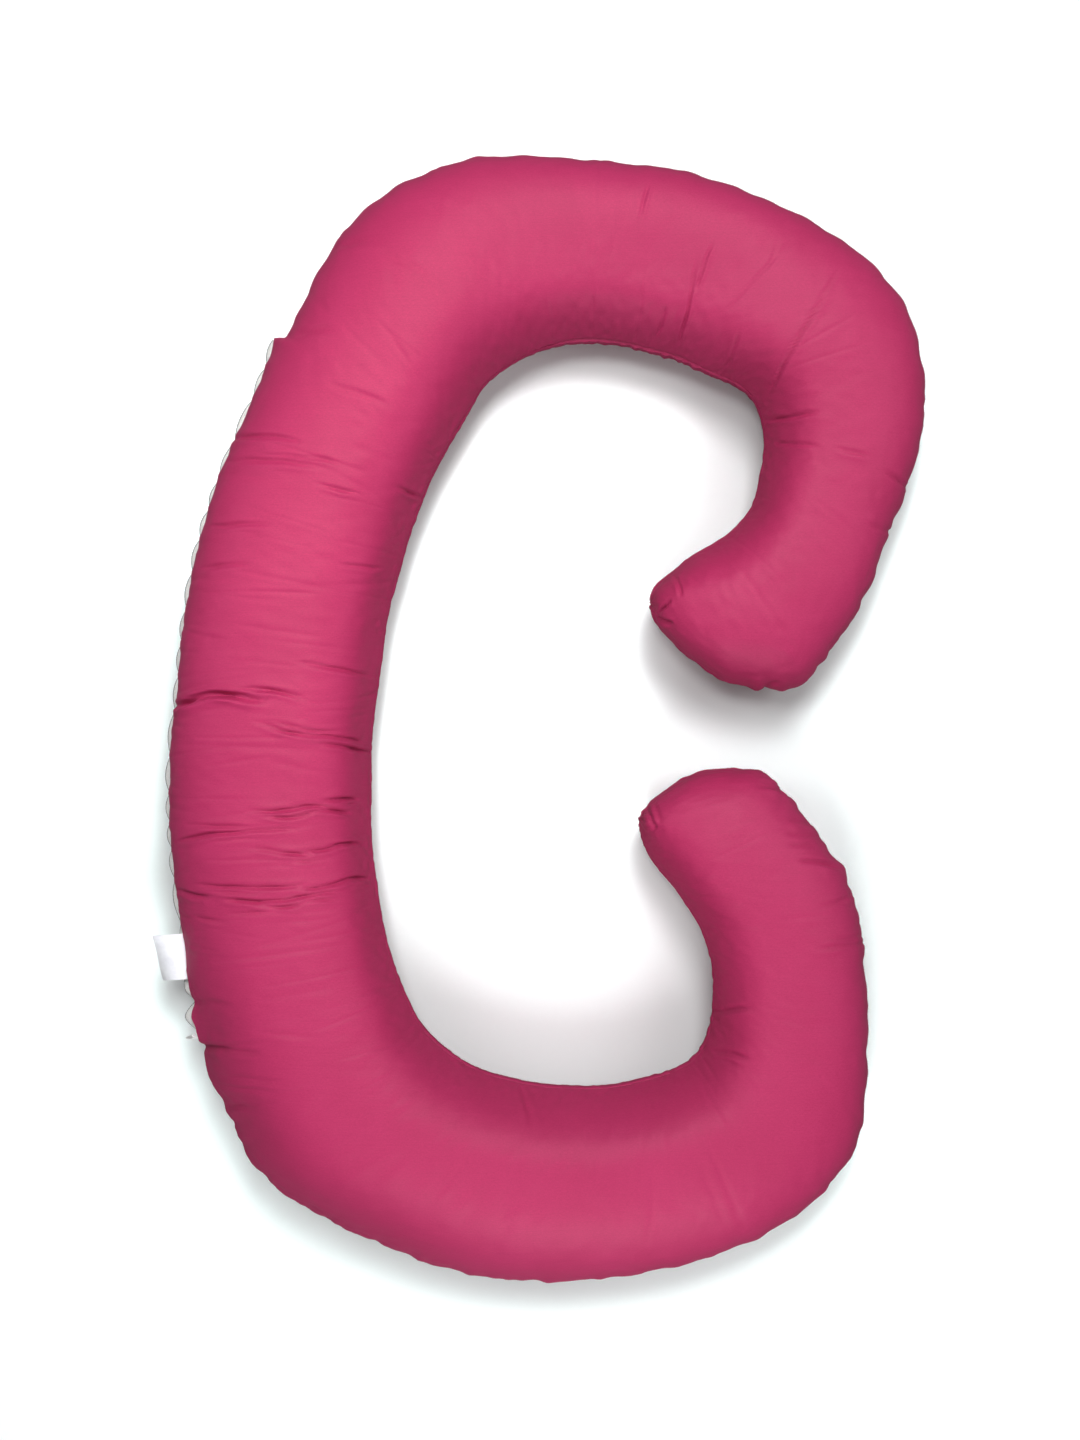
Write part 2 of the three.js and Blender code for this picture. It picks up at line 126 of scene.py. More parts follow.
SEAM_SHARE = 0.47  # height of the side seams, as a share of the tube's height
TOP_FULLNESS = 2.15  # superellipse power: 2 is an ellipse, more is fuller
UNDER_FULLNESS = 2.3


def between(a, b, c, d, t):
    """The place at the share t from b to c, on a smooth curve through four neighbours."""
    return 0.5 * (2 * b + (c - a) * t + (2 * a - 5 * b + 4 * c - d) * t**2 + (3 * b - a - 3 * c + d) * t**3)


def through(values, rows):
    """A smooth curve through evenly numbered values, read at any rows, with the ends run on straight."""
    first, last = 2 * values[0] - values[1], 2 * values[-1] - values[-2]
    padded = np.concatenate(([first], values, [last]))
    low = np.clip(np.floor(rows).astype(int), 0, len(values) - 2)
    t = (rows - low).reshape((-1,) + (1,) * (values.ndim - 1))
    return between(*(padded[low + k] for k in range(4)), t)


def sections(rows):
    """Middle, outward direction, half width, crown, belly and seam height at each row, in metres."""
    at = {name: through(column, rows) * MM for name, column in SECTIONS.items()}
    inner = np.stack([at["innerX"], at["innerY"]], 1)
    outer = np.stack([at["outerX"], at["outerY"]], 1)
    width = np.linalg.norm(outer - inner, axis=1)
    outward = (outer - inner) / np.maximum(width, 1e-9)[:, None]
    seam = at["belly"] + SEAM_SHARE * (at["crown"] - at["belly"])
    return (inner + outer) / 2, outward, width / 2, at["crown"], at["belly"], seam


fine_rows = np.linspace(0, LAST_ROW, LAST_ROW * 40 + 1)


def running_length(*sides):
    """Length from the first nose to each fine row, the mean of the sides named."""
    total = 0
    for side in sides:
        x, y = (through(SECTIONS[side + axis], fine_rows) * MM for axis in "XY")
        total = total + np.concatenate(([0], np.cumsum(np.hypot(np.diff(x), np.diff(y)))))
    return total / len(sides)


outer_length = running_length("outer")
mean_length = running_length("inner", "outer")
print(f"tube from nose to nose: {mean_length[-1]:.3f} m")


# %% [markdown]
# ## The zip's rhythm
#
# The zip is sewn in under tension, so the cloth puckers at regular places and the zip stands out in a
# small arc between them. Both the cover and the zip follow this rhythm, so it comes first: how many
# arcs lie before a place, how far an arc stands out there, and where the hollow that holds the zip is.
# The seam itself isn't an even line either. Gathers ripple it, and at some places of the photograph it
# has a small bump or a notch. These are kept in a table and pushed out or in with a soft bell curve.

# %% Zip rhythm
ZIP_FROM_ROW, ZIP_TO_ROW = 20.28, 30.1
ZIP_ARCS = 20
ARC_UNEVENNESS = 0.3
ARC_RISE = 8 * MM
CHANNEL = 4 * MM
CHANNEL_EDGES = (7, 14)  # degrees from the seam, between which the hollow rises to the cloth
CHANNEL_END, CHANNEL_FADE = 12 * MM, 8 * MM
PUCKER = 2 * MM
ZIP_BULGE, ZIP_BULGE_FADE = 14 * MM, 35 * MM
SWELL_SPREAD = 30  # degrees
SLENDER = 60 * MM
GATHERS = named("height pitch phase", [(1.2, 52, 0), (0.9, 86, 1)])
PIXEL = 1.2433  # millimetres for a pixel of the photograph, at seam height
PHOTO_WIDE, PHOTO_TALL = 1080, 1440
NUBS = named("photoX photoY height width", [
    (757, 688, 2.0, 6),
    (768, 684, -3.0, 5),
    (783, 688, 2.5, 8),
    (829, 653, -3.0, 5),
    (887, 532, -2.0, 5),
    (925, 402, 2.0, 6),
    (842, 868, 3.0, 7),
    (864, 958, -1.5, 12),
    (196, 1000, -6.0, 8),
    (192, 1017, 4.5, 10),
    (205, 1045, -2.0, 7),
    (204, 1070, 6.0, 16),
    (223, 1110, 3.0, 8),
    (232, 1124, -2.5, 6),
    (330, 1227, 2.0, 8),
    (470, 1278, -2.0, 10),
])


def smoothstep(value, low, high):
    t = np.clip((value - low) / (high - low), 0, 1)
    return t * t * (3 - 2 * t)


def bells(rows, *table):
    """The sum of soft bells along the tube, each with its row, spread and height."""
    return sum(height * np.exp(-((rows - row) / spread) ** 2) for row, spread, height in table)


def outer_place(rows):
    return np.interp(rows, fine_rows, outer_length)


outer_line = np.stack([through(SECTIONS["outer" + axis], fine_rows) for axis in "XY"], 1)
nub_spots = np.stack([NUBS["photoX"] - PHOTO_WIDE / 2, PHOTO_TALL / 2 - NUBS["photoY"]], 1) * PIXEL
nub_places = [outer_length[np.linalg.norm(outer_line - spot, axis=1).argmin()] for spot in nub_spots]
zip_start = outer_place(ZIP_FROM_ROW)
zip_length = outer_place(ZIP_TO_ROW) - zip_start


def arcs_before(rows):
    share = (outer_place(rows) - zip_start) / zip_length
    return ZIP_ARCS * share + ARC_UNEVENNESS * np.sin(7 * np.pi * share) * np.cos(4 * share)


def arc_rise(rows):
    """0 at the ends of an arc and 1 in its middle, and 0 away from the zip."""
    arcs = arcs_before(rows)
    return np.where((arcs <= 0) | (arcs >= ZIP_ARCS), 0, np.abs(np.sin(np.pi * arcs)) ** 0.8)


def channel_share(rows):
    along = outer_place(rows) - zip_start
    past = np.maximum(np.maximum(-along, along - zip_length - CHANNEL_END), 0)
    return np.clip(1 - past / CHANNEL_FADE, 0, 1)


def seam_bulge(rows):
    """How far the zip's start, the gathers and the nubs push the outer seam out."""
    along = outer_place(rows) - zip_start
    start = ZIP_BULGE * smoothstep(along, -6 * MM, 3 * MM) * np.exp(-np.maximum(along, 0) / ZIP_BULGE_FADE)
    ends = smoothstep(np.minimum(rows, LAST_ROW - rows), 1, 4)
    waves = zip(GATHERS["height"], GATHERS["pitch"], GATHERS["phase"])
    gathers = sum(height * MM * np.sin(2 * np.pi * along / (pitch * MM) + phase)
                  for height, pitch, phase in waves)
    in_zip = channel_share(rows)
    nubs = sum(height * MM * np.exp(-((outer_place(rows) - place) / (width * MM)) ** 2)
               for place, height, width in zip(nub_places, NUBS["height"], NUBS["width"]))
    return nubs + start + in_zip * PUCKER * (1 - arc_rise(rows)) + (1 - in_zip) * ends * gathers


print(f"zip: {zip_length:.3f} m in {ZIP_ARCS} arcs")


# %% [markdown]
# ## The smooth cover
#
# A point of the cover is given by its row and its angle round the section: 0 is the outer seam, 90
# the crown, 180 the inner seam and 270 the belly. Rows and angles make a grid, so the same function
# serves the coarse mesh for the cloth simulation and the fine mesh that is shown. A round section would
# be a superellipse. But a tight cover is flat on top and turns down steeply on its inner side, and at
# the lower corner of the back the outer side slopes too, so there the height is a power of the width.

# %% Cover points
INNER_FLANK = 4.0  # power of the inner flank's slope: more is flatter on top and steeper at the seam
OUTER_FLANK = 2.4
OUTER_FLANK_ROW, OUTER_FLANK_SPREAD = 31.3, 3.4
ZIP_WALL = 0.14  # share of the height over which the cloth stands upright behind the zip


def lens_share(rows):
    """How far the outer flank runs down straight: 1 at the lower corner of the back, 0 away from it."""
    return np.exp(-((rows - OUTER_FLANK_ROW) / OUTER_FLANK_SPREAD) ** 4)[:, None]


def cover(rows, angles):
    """Points of the smooth stuffed cover, one ring for each row. angles is in degrees, rows by ring."""
    middle, outward, half, crown, belly, seam = (each[:, None] for each in sections(rows))
    cos, sin = np.cos(np.radians(angles)), np.sin(np.radians(angles))
    power = np.where(sin >= 0, 2 / TOP_FULLNESS, 2 / UNDER_FULLNESS)
    reach = np.where(sin >= 0, crown - seam, seam - belly)
    across = half * np.sign(cos) * np.abs(cos) ** power
    round_height = np.sign(sin) * np.abs(sin) ** power
    out = np.abs(cos) ** power
    wall = ZIP_WALL * channel_share(rows)[:, None]
    outer_flank = np.minimum(1 - (1 - wall) * out**OUTER_FLANK, round_height)
    straight = np.where(cos < 0, 1 - out**INNER_FLANK, outer_flank)
    share = np.where(sin <= 0, 0, np.where(cos < 0, 1, lens_share(rows)))
    height = seam + reach * (round_height + share * (straight - round_height))
    from_outer = np.minimum(angles % 360, -angles % 360)
    hollow = channel_share(rows)[:, None] * CHANNEL * (1 - smoothstep(from_outer, *CHANNEL_EDGES))
    swell = seam_bulge(rows)[:, None] * np.exp(-(from_outer / SWELL_SPREAD) ** 2)
    across = across + np.clip(half / SLENDER, 0, 1) * (swell - hollow)
    flat = middle + outward * across[..., None]
    return np.concatenate([flat, np.maximum(height, 0)[..., None]], 2)


def grid_normals(points):
    """Unit normals of a grid of rings, pointing out of the tube."""
    along = np.gradient(points, axis=0)
    around = np.roll(points, -1, 1) - np.roll(points, 1, 1)
    normals = np.cross(along, around)
    length = np.linalg.norm(normals, axis=2, keepdims=True)
    return normals / np.maximum(length, 1e-12)


def rows_spaced(spans):
    """Rows from nose to nose, at the spacing that each span of the table gives."""
    rows = []
    for start, end, spacing in spans:
        lengths = np.interp([start, end], fine_rows, mean_length)
        count = max(2, round((lengths[1] - lengths[0]) / (spacing * MM)))
        wanted = np.linspace(*lengths, count, endpoint=False)
        rows.append(np.interp(wanted, mean_length, fine_rows))
    return np.concatenate(rows + [[LAST_ROW]])


def new_piece(name, points, faces):
    """A piece with a mesh of these points and faces."""
    mesh = bpy.data.meshes.new(name)
    mesh.from_pydata(points, [], faces)
    mesh.validate()
    piece = bpy.data.objects.new(name, mesh)
    scene.collection.objects.link(piece)
    return piece


def grid_mesh(name, points):
    """A closed mesh through rings of points, its two ends closed by a point each."""
    count, around = points.shape[:2]
    inside = points[1:-1].reshape(-1, 3)
    poles = points[[0, -1]].mean(1)
    ring = np.arange(around)
    start = (np.arange(count - 3) * around)[:, None]
    a, b = start + ring, start + np.roll(ring, -1)
    quads = np.stack([a, a + around, b + around, b], 2).reshape(-1, 4)
    last = (count - 3) * around
    first_pole, last_pole = len(inside), len(inside) + 1
    fans = [(first_pole, i, (i + 1) % around) for i in range(around)]
    fans += [(last_pole, last + (i + 1) % around, last + i) for i in range(around)]
    piece = new_piece(name, np.concatenate([inside, poles]).tolist(), quads.tolist() + fans)
    piece.data.shade_smooth()
    return piece


def select_only(piece):
    """Makes this piece the one that the next operator acts on."""
    bpy.ops.object.select_all(action="DESELECT")
    piece.select_set(True)
    bpy.context.view_layer.objects.active = piece


def set_normals_outside(piece):
    """Turns the faces of a closed mesh outwards."""
    select_only(piece)
    bpy.ops.object.mode_set(mode="EDIT")
    bpy.ops.mesh.select_all(action="SELECT")
    bpy.ops.mesh.normals_make_consistent(inside=False)
    bpy.ops.object.mode_set(mode="OBJECT")


# %% [markdown]
# ## Wrinkles from a cloth simulation
#
# Where two panels are sewn round a bend, the cloth beside the seam is longer than the seam, and the
# spare length stands up in puckers. A cloth simulation finds their natural rhythm. The trial mesh is
# coarse and starts as the smooth cover. Springs along both seams and over the back are told to grow,
# pressure stands for the filling, and soft pins hold the overall form. Only the small relief is kept:
# the difference to the smooth cover, less its own broad swell, and never more than a few millimetres.

# %% Cloth trial
TRIAL_SPACING = 9.0
TRIAL_AROUND = 72
TRIAL_FRAMES = 20
TRIAL_CAP = 5 * MM
TRIAL_ROUGHNESS = 0.3 * MM  # uneven start, so that the puckers find a place to begin
TRIAL_HOLD = 0.25  # how firmly the pins keep the form
SPARE_CLOTH = 0.07


def spare_share(rows, angles):
    """Where the cloth has spare length: by both seams, most at the bends, and across the back."""
    from_outer = np.minimum(angles % 360, -angles % 360)
    from_inner = np.abs(angles - 180)
    bends = bells(rows, (18.5, 2.5, 1), (32.5, 3, 1), (12.5, 3, 1), (38, 2.5, 1))
    by_seams = np.exp(-(from_outer / 24) ** 2) + np.exp(-(from_inner / 22) ** 2)
    back = bells(rows, (26.5, 3, 0.35))
    return np.clip(by_seams * (0.45 + 0.55 * np.clip(bends, 0, 1))[:, None] + back[:, None], 0, 1)


def blurred(grid, along, around):
    """The grid smoothed by running means, open along the rows and closed round the rings."""
    for axis, size in ((0, along), (1, around)):
        for _ in range(3):
            mode = "edge" if axis == 0 else "wrap"
            pad = [(size, size) if k == axis else (0, 0) for k in range(2)]
            wide = np.pad(grid, pad, mode=mode)
            total = np.cumsum(wide, axis)
            width = 2 * size + 1
            ends = np.take(total, range(width - 1, total.shape[axis]), axis)
            starts = np.concatenate([np.zeros_like(np.take(total, [0], axis)),
                                     np.take(total, range(0, total.shape[axis] - width), axis)], axis)
            grid = (ends - starts) / width
    return grid


def cloth_relief():
    """Rows, and the relief of the trial cloth on them, in metres out of the smooth cover."""
    rows = rows_spaced([(0, LAST_ROW, TRIAL_SPACING)])
    angles = np.broadcast_to(np.arange(TRIAL_AROUND) * 360 / TRIAL_AROUND, (len(rows), TRIAL_AROUND))
    start = cover(rows, angles)
    relief = np.zeros(start.shape[:2])
    normals = grid_normals(start)
    rng = np.random.default_rng(7)
    start = start + normals * rng.normal(0, TRIAL_ROUGHNESS, start.shape[:2])[..., None]
    trial = grid_mesh("trial_cloth", start)
    set_normals_outside(trial)
    spare = trial.vertex_groups.new(name="spare")
    held = trial.vertex_groups.new(name="held")
    share = spare_share(rows, angles)[1:-1].ravel()
    for index, weight in enumerate(share):
        spare.add([index], float(weight), "REPLACE")
        held.add([index], TRIAL_HOLD, "REPLACE")
    held.add([len(share), len(share) + 1], 1.0, "REPLACE")
    cloth = trial.modifiers.new("Cloth", "CLOTH").settings
    cloth.quality = 5
    cloth.mass = 0.15
    cloth.tension_stiffness = 15
    cloth.compression_stiffness = 15
    cloth.shear_stiffness = 5
    cloth.bending_stiffness = 0.2
    cloth.use_pressure = True
    cloth.uniform_pressure_force = 4
    cloth.effector_weights.gravity = 0
    cloth.vertex_group_mass = "held"
    cloth.pin_stiffness = 1
    cloth.vertex_group_shrink = "spare"
    cloth.shrink_min = 0
    cloth.shrink_max = -SPARE_CLOTH
    for number in range(1, TRIAL_FRAMES + 1):
        scene.frame_set(number)
    evaluated = trial.evaluated_get(bpy.context.evaluated_depsgraph_get())
    settled = np.array([vertex.co for vertex in evaluated.data.vertices])[:-2]
    inside = settled.reshape(len(rows) - 2, TRIAL_AROUND, 3)
    relief[1:-1] = ((inside - cover(rows, angles)[1:-1]) * normals[1:-1]).sum(2)
    scene.frame_set(1)
    bpy.data.objects.remove(trial)
    relief = relief - blurred(relief, 5, 5)
    return rows, np.clip(relief, -TRIAL_CAP, TRIAL_CAP)


trial_rows, trial_relief = cloth_relief()
print(f"cloth relief: {trial_relief.min() / MM:.1f} to {trial_relief.max() / MM:.1f} mm, "
      f"mean {np.abs(trial_relief).mean() / MM:.2f} mm")


# %% [markdown]
# ## The fine grid
#
# The shown mesh is closer where the cloth creases: rows lie 1.25 mm apart over the back and round the
# top bend, and up to 3 mm elsewhere, and the points of a ring crowd towards the seams. On the inside of
# the top bend the seam sits above the widest line, so there the whole grid slides up the tube.

# %% Fine rows and angles
AROUND = 176
CROWDING = 0.6
rows = rows_spaced([
    (0, 1.5, 1.2),
    (1.5, 5, 2.2),
    (5, 10, 2.4),
    (10, 16.5, 1.25),
    (16.5, 17, 1.7),
    (17, 21, 2.4),
    (21, 31.5, 1.25),
    (31.5, 36, 3.0),
    (36, 43, 2.6),
    (43, 46.5, 2.2),
    (46.5, LAST_ROW, 1.2),
])
turn = np.arange(AROUND) / AROUND
ring_angles = 360 * (turn - CROWDING * np.sin(4 * np.pi * turn) / (4 * np.pi))
SEAM_LIFT = 9  # degrees that the inner seam lies above the widest line
lift = SEAM_LIFT * smoothstep(rows, 9.5, 12) * (1 - smoothstep(rows, 15, 17.5))
angles = ring_angles - lift[:, None] * np.exp(-((ring_angles - 180) / 45) ** 2)
points = cover(rows, angles)
normals = grid_normals(points)
half_width = sections(rows)[2]
print(f"fine grid: {len(rows)} rings of {AROUND} points")


# %% [markdown]
# ## Creases where the photograph shows them
#
# The lens looks straight down, so each point of the cover has its place in the photograph. A crease is
# a short stroke there, through three points. Across a stroke the cloth sinks in a narrow valley, stands
# up in a lip below it and in a lower one above it. A stroke's depth is counted in steps of about two
# millimetres, and its width in pixels of the 1080 by 1440 photograph, each about 1.2 mm on the pillow.

# %% Where the camera sees each point
CAMERA_HEIGHT = 2.3
FOCAL_PIXELS = 1781.6


def photo_place(xyz):
    """Column and row of the photograph where a point of the pillow shows."""
    scale = FOCAL_PIXELS / (CAMERA_HEIGHT - xyz[..., 2])
    return PHOTO_WIDE / 2 + xyz[..., 0] * scale, PHOTO_TALL / 2 - xyz[..., 1] * scale


# %% Strokes
LIP, UPPER_LIP = 0.45, 0.2  # height of the lips, as shares of the valley's depth
STROKE_SHAKE = 0.35  # pixels that a stroke wavers from its line
STROKE_DEPTH = 2.1 * MM
CREASES = named("fromX fromY midX midY toX toY depth width", [
    # the deep double fold in the back
    (188, 698, 211, 693, 264, 702, 4.0, 2.6),
    (176, 709, 205, 697, 258, 704, 4.5, 2.8),
    (172, 706, 182, 704, 196, 699, 3.0, 3.0),
    (234, 689, 262, 688, 290, 692, 1.6, 2.0),
    (242, 694, 276, 691, 309, 703, 2.0, 2.0),
    # below it
    (259, 720, 296, 733, 330, 735, 2.6, 2.2),
    (318, 735, 340, 737, 362, 742, 2.0, 2.0),
    (272, 719, 300, 728, 338, 731, 1.8, 2.0),
    (322, 743, 347, 747, 374, 753, 2.6, 2.2),
    (300, 662, 335, 668, 375, 677, 1.8, 2.4),
    # a pair of waves across the middle of the back
    (251, 810, 284, 810, 311, 804, 2.4, 2.2),
    (298, 807, 318, 806, 342, 813, 2.4, 2.2),
    (262, 815, 290, 817, 318, 810, 2.2, 2.0),
    (308, 812, 326, 810, 349, 814, 2.0, 2.0),
    (323, 801, 338, 798, 357, 800, 2.6, 2.2),
    (340, 804, 348, 803, 356, 804, 1.4, 1.8),
    # long low creases from the zip side
    (186, 824, 226, 826, 266, 826, 1.4, 2.2),
    (176, 842, 203, 835, 240, 832, 2.8, 2.4),
    (224, 833, 256, 830, 292, 829, 1.6, 2.0),
    (216, 841, 236, 839, 252, 838, 1.0, 1.8),
    (254, 847, 282, 852, 314, 855, 2.0, 2.2),
    (306, 851, 328, 848, 342, 842, 2.2, 2.0),
    (330, 845, 346, 843, 364, 845, 2.4, 2.2),
    (292, 860, 306, 861, 321, 859, 1.2, 2.0),
    # the lower group
    (196, 884, 238, 887, 282, 887, 2.4, 2.4),
    (270, 887, 288, 886, 304, 884, 1.4, 2.0),
    (305, 888, 326, 886, 344, 879, 2.4, 2.2),
    (334, 882, 352, 878, 370, 878, 2.2, 2.2),
    (177, 889, 192, 894, 210, 896, 2.6, 2.4),
    (205, 890, 230, 892, 258, 893, 1.8, 2.2),
    (222, 898, 258, 901, 292, 899, 2.6, 2.2),
    (284, 901, 308, 895, 334, 891, 2.4, 2.2),
    (254, 902, 280, 907, 300, 904, 2.8, 2.4),
    (292, 905, 312, 900, 336, 900, 1.6, 2.0),
    (194, 915, 206, 919, 220, 921, 1.4, 2.2),
    (226, 915, 256, 912, 292, 912, 1.4, 2.2),
    # upper back
    (210, 527, 238, 524, 268, 523, 1.6, 2.4),
    (202, 568, 224, 565, 248, 562, 1.4, 2.4),
    (342, 564, 360, 566, 380, 567, 1.4, 2.2),
    (322, 485, 340, 489, 358, 493, 1.4, 2.0),
    (396, 486, 410, 492, 424, 499, 1.8, 2.2),
    (228, 462, 276, 460, 320, 466, 1.8, 2.8),
    (226, 441, 262, 436, 300, 440, 2.0, 2.8),
    (256, 454, 296, 456, 338, 461, 1.2, 2.2),
    (330, 385, 356, 392, 384, 401, 1.4, 2.4),
    (296, 335, 314, 331, 334, 327, 1.8, 2.4),
    # the upper left corner
    (376, 251, 410, 266, 442, 285, 1.6, 2.6),
    (394, 269, 418, 280, 440, 295, 1.4, 2.4),
    (334, 248, 358, 243, 384, 240, 1.4, 2.6),
    # fine lines across the top
    (677, 347, 688, 306, 696, 262, 2.0, 1.4),
    (696, 292, 704, 264, 712, 242, 1.3, 1.4),
    (770, 392, 798, 338, 823, 298, 2.4, 1.5),
    (814, 310, 826, 290, 838, 268, 1.2, 1.5),
    (640, 216, 644, 200, 648, 184, 0.9, 1.6),
    (770, 267, 774, 253, 778, 237, 0.8, 1.6),
    (655, 340, 660, 326, 664, 312, 0.8, 1.8),
    (725, 372, 732, 352, 737, 332, 0.9, 1.8),
    # the upper arm
    (766, 420, 792, 416, 818, 411, 2.0, 2.4),
    (776, 443, 796, 443, 818, 446, 1.4, 2.2),
    (838, 448, 854, 452, 870, 456, 1.4, 2.0),
    (885, 470, 896, 479, 908, 489, 1.8, 2.2),
    (862, 522, 878, 527, 894, 532, 1.4, 2.0),
    # the upper nose
    (658, 613, 664, 607, 671, 600, 2.6, 1.8),
    (654, 613, 662, 619, 673, 623, 3.0, 2.0),
    (675, 575, 679, 585, 681, 597, 1.6, 1.8),
    (764, 687, 771, 683, 779, 681, 1.8, 1.8),
    # the lower end
    (758, 786, 774, 788, 792, 796, 3.0, 2.4),
    (760, 781, 772, 784, 785, 788, 1.6, 1.8),
    (788, 821, 799, 822, 812, 825, 1.6, 2.0),
    (786, 834, 802, 835, 820, 838, 1.4, 2.0),
    (788, 844, 800, 845, 814, 846, 1.4, 2.0),
    (797, 860, 820, 863, 843, 870, 2.8, 2.0),
    (820, 908, 836, 902, 854, 894, 1.6, 2.0),
    (828, 939, 846, 938, 864, 936, 1.2, 2.0),
    (818, 949, 842, 945, 866, 942, 1.8, 2.0),
    (646, 803, 650, 816, 656, 830, 2.4, 2.2),
    (653, 800, 658, 812, 662, 822, 1.4, 2.0),
    # inside of the lower bends
    (711, 1012, 730, 1009, 754, 1007, 1.6, 2.4),
    (712, 1050, 730, 1053, 750, 1057, 1.8, 2.4),
    (716, 1058, 730, 1062, 744, 1068, 1.2, 2.2),
    (520, 1086, 526, 1102, 532, 1126, 1.4, 2.4),
    # the lower corner of the back
    (198, 1046, 226, 1049, 258, 1054, 1.7, 3.0),
    (222, 1075, 254, 1079, 286, 1084, 1.0, 2.6),
    (218, 1083, 246, 1088, 276, 1093, 0.7, 2.2),
    (256, 1031, 282, 1034, 314, 1038, 0.8, 2.6),
    (188, 1002, 204, 1002, 232, 1006, 1.0, 4.0),
    (222, 1106, 238, 1106, 256, 1110, 0.9, 3.0),
])


def strokes(table, column, line):
    """Depth of the creases at places in the photograph: valleys above zero, lips below."""
    depth = np.zeros_like(column)
    for n in range(len(table["depth"])):
        x0, y0, xm, ym, x1, y1, deep, width = (table[name][n] for name in table)
        run_x, run_y = x1 - x0, y1 - y0
        long = math.hypot(run_x, run_y)
        margin = 8 * width
        near = (column > min(x0, xm, x1) - margin) & (column < max(x0, xm, x1) + margin)
        near &= (line > min(y0, ym, y1) - margin) & (line < max(y0, ym, y1) + margin)

        def along_and_off(x, y):
            return (((x - x0) * run_x + (y - y0) * run_y) / long**2,
                    ((x - x0) * run_y - (y - y0) * run_x) / long)

        mid_along, mid_off = along_and_off(xm, ym)
        along, off = along_and_off(column[near], line[near])
        off = off - mid_off * along * (1 - along) / (mid_along * (1 - mid_along))
        off = off + STROKE_SHAKE * np.sin(along * long / 5 + 1.7 * n)
        if abs(run_x) > abs(run_y):
            off = off * math.copysign(1, run_x)
        fade = np.sin(np.pi * np.clip(along, 0, 1)) ** 0.55 * (0.85 + 0.15 * np.sin(along * 9 + n))
        valley = np.exp(-(off / np.where(off > 0, 0.65 * width, 1.1 * width)) ** 2)
        lip = LIP * np.exp(-((off + 2.1 * width) / (1.4 * width)) ** 2)
        upper_lip = UPPER_LIP * np.exp(-((off - 1.8 * width) / (1.5 * width)) ** 2)
        depth[near] += STROKE_DEPTH * deep * fade * (valley - lip - upper_lip)
    return depth


column, line = photo_place(points)
upper = smoothstep(points[..., 2], 0.055, 0.085)
crease_depth = strokes(CREASES, column, line) * upper
print(f"creases: {len(CREASES['depth'])} strokes, up to {crease_depth.max() / MM:.1f} mm deep")


# %% [markdown]
# Between the strokes that can be named lie many faint ones. They follow the same direction, across the
# tube, and gather where the tube is bent or sewn. A seeded generator lays them out on the grid itself,
# in rows and angles, so they reach the underside too.

# %% Faint creases
FAINT = 420
BACK_ROW, BACK_SPREAD = 27, 2.6  # half of them lie about the middle of the back
BY_A_SEAM = 0.45  # share that starts at a seam
GIRTH = 0.66  # metres round the tube


def faint_creases():
    rng = np.random.default_rng(21)
    depth = np.zeros(points.shape[:2])
    place = np.interp(rows, fine_rows, mean_length)
    for _ in range(FAINT):
        if rng.random() < 0.5:
            row = rng.normal(BACK_ROW, BACK_SPREAD)
        else:
            row = rng.uniform(1.5, LAST_ROW - 1.5)
        row = float(np.clip(row, 1.5, LAST_ROW - 1.5))
        by_seam = rng.random() < BY_A_SEAM
        angle = rng.choice([0, 180]) + rng.normal(0, 22) if by_seam else rng.uniform(0, 360)
        reach = rng.uniform(14, 46)
        slant = rng.normal(0, 0.12)
        deep = rng.uniform(0.15, 0.6) * MM
        width = rng.uniform(1.8, 3.6) * MM
        centre = np.interp(row, fine_rows, mean_length)
        near = np.abs(place - centre) < 0.03
        round_off = (angles[near] - angle + 180) % 360 - 180
        off = place[near][:, None] - centre - slant * round_off / 360 * GIRTH
        fade = np.exp(-(round_off / reach) ** 4)
        lips = 0.4 * np.exp(-((np.abs(off) - 2.2 * width) / (1.6 * width)) ** 2)
        depth[near] += deep * fade * (np.exp(-(off / width) ** 2) - lips)
    return depth


smooth_inside = 1 - 0.8 * np.exp(-((angles - 180) / 16) ** 2)
faint_depth = faint_creases() * smooth_inside * np.clip(half_width / SLENDER, 0, 1)[:, None]
print(f"faint creases: {FAINT}, up to {faint_depth.max() / MM:.1f} mm deep")


# %% [markdown]
# ## Seams, puckers and noses
#
# The seam pulls a narrow groove. Beside it the cloth stands in short puckers that die away within
# about 25 mm, each side with its own rhythm. Where the zip lies there is no groove, and the puckers
# start beyond it. At the two noses the panels' ends are gathered, so folds run out from the point.

# %% Seam relief
SEAM_GROOVE, SEAM_WIDTH = 2.4 * MM, 2.6 * MM
PUCKER_REACH = 13 * MM
OUTER_PITCH, INNER_PITCH = 34 * MM, 19 * MM  # from one pucker to the next
NOSE_FOLD, NOSE_REACH = 1.5 * MM, 30 * MM
LUMP = 0.28 * MM


def uneven_wave(place, pitch, seed):
    """A wave along a seam with uneven pitch and height, between -1 and 1."""
    rng = np.random.default_rng(seed)
    total = 0
    for share, weight in ((0.55, 0.4), (1.0, 0.8), (1.45, 0.55), (2.1, 0.3)):
        drift = 0.9 * np.sin(place / (pitch * 5.3) + rng.uniform(0, 6))
        total = total + weight * np.sin(2 * np.pi * place * share / pitch + drift + rng.uniform(0, 6))
    return total / 1.6


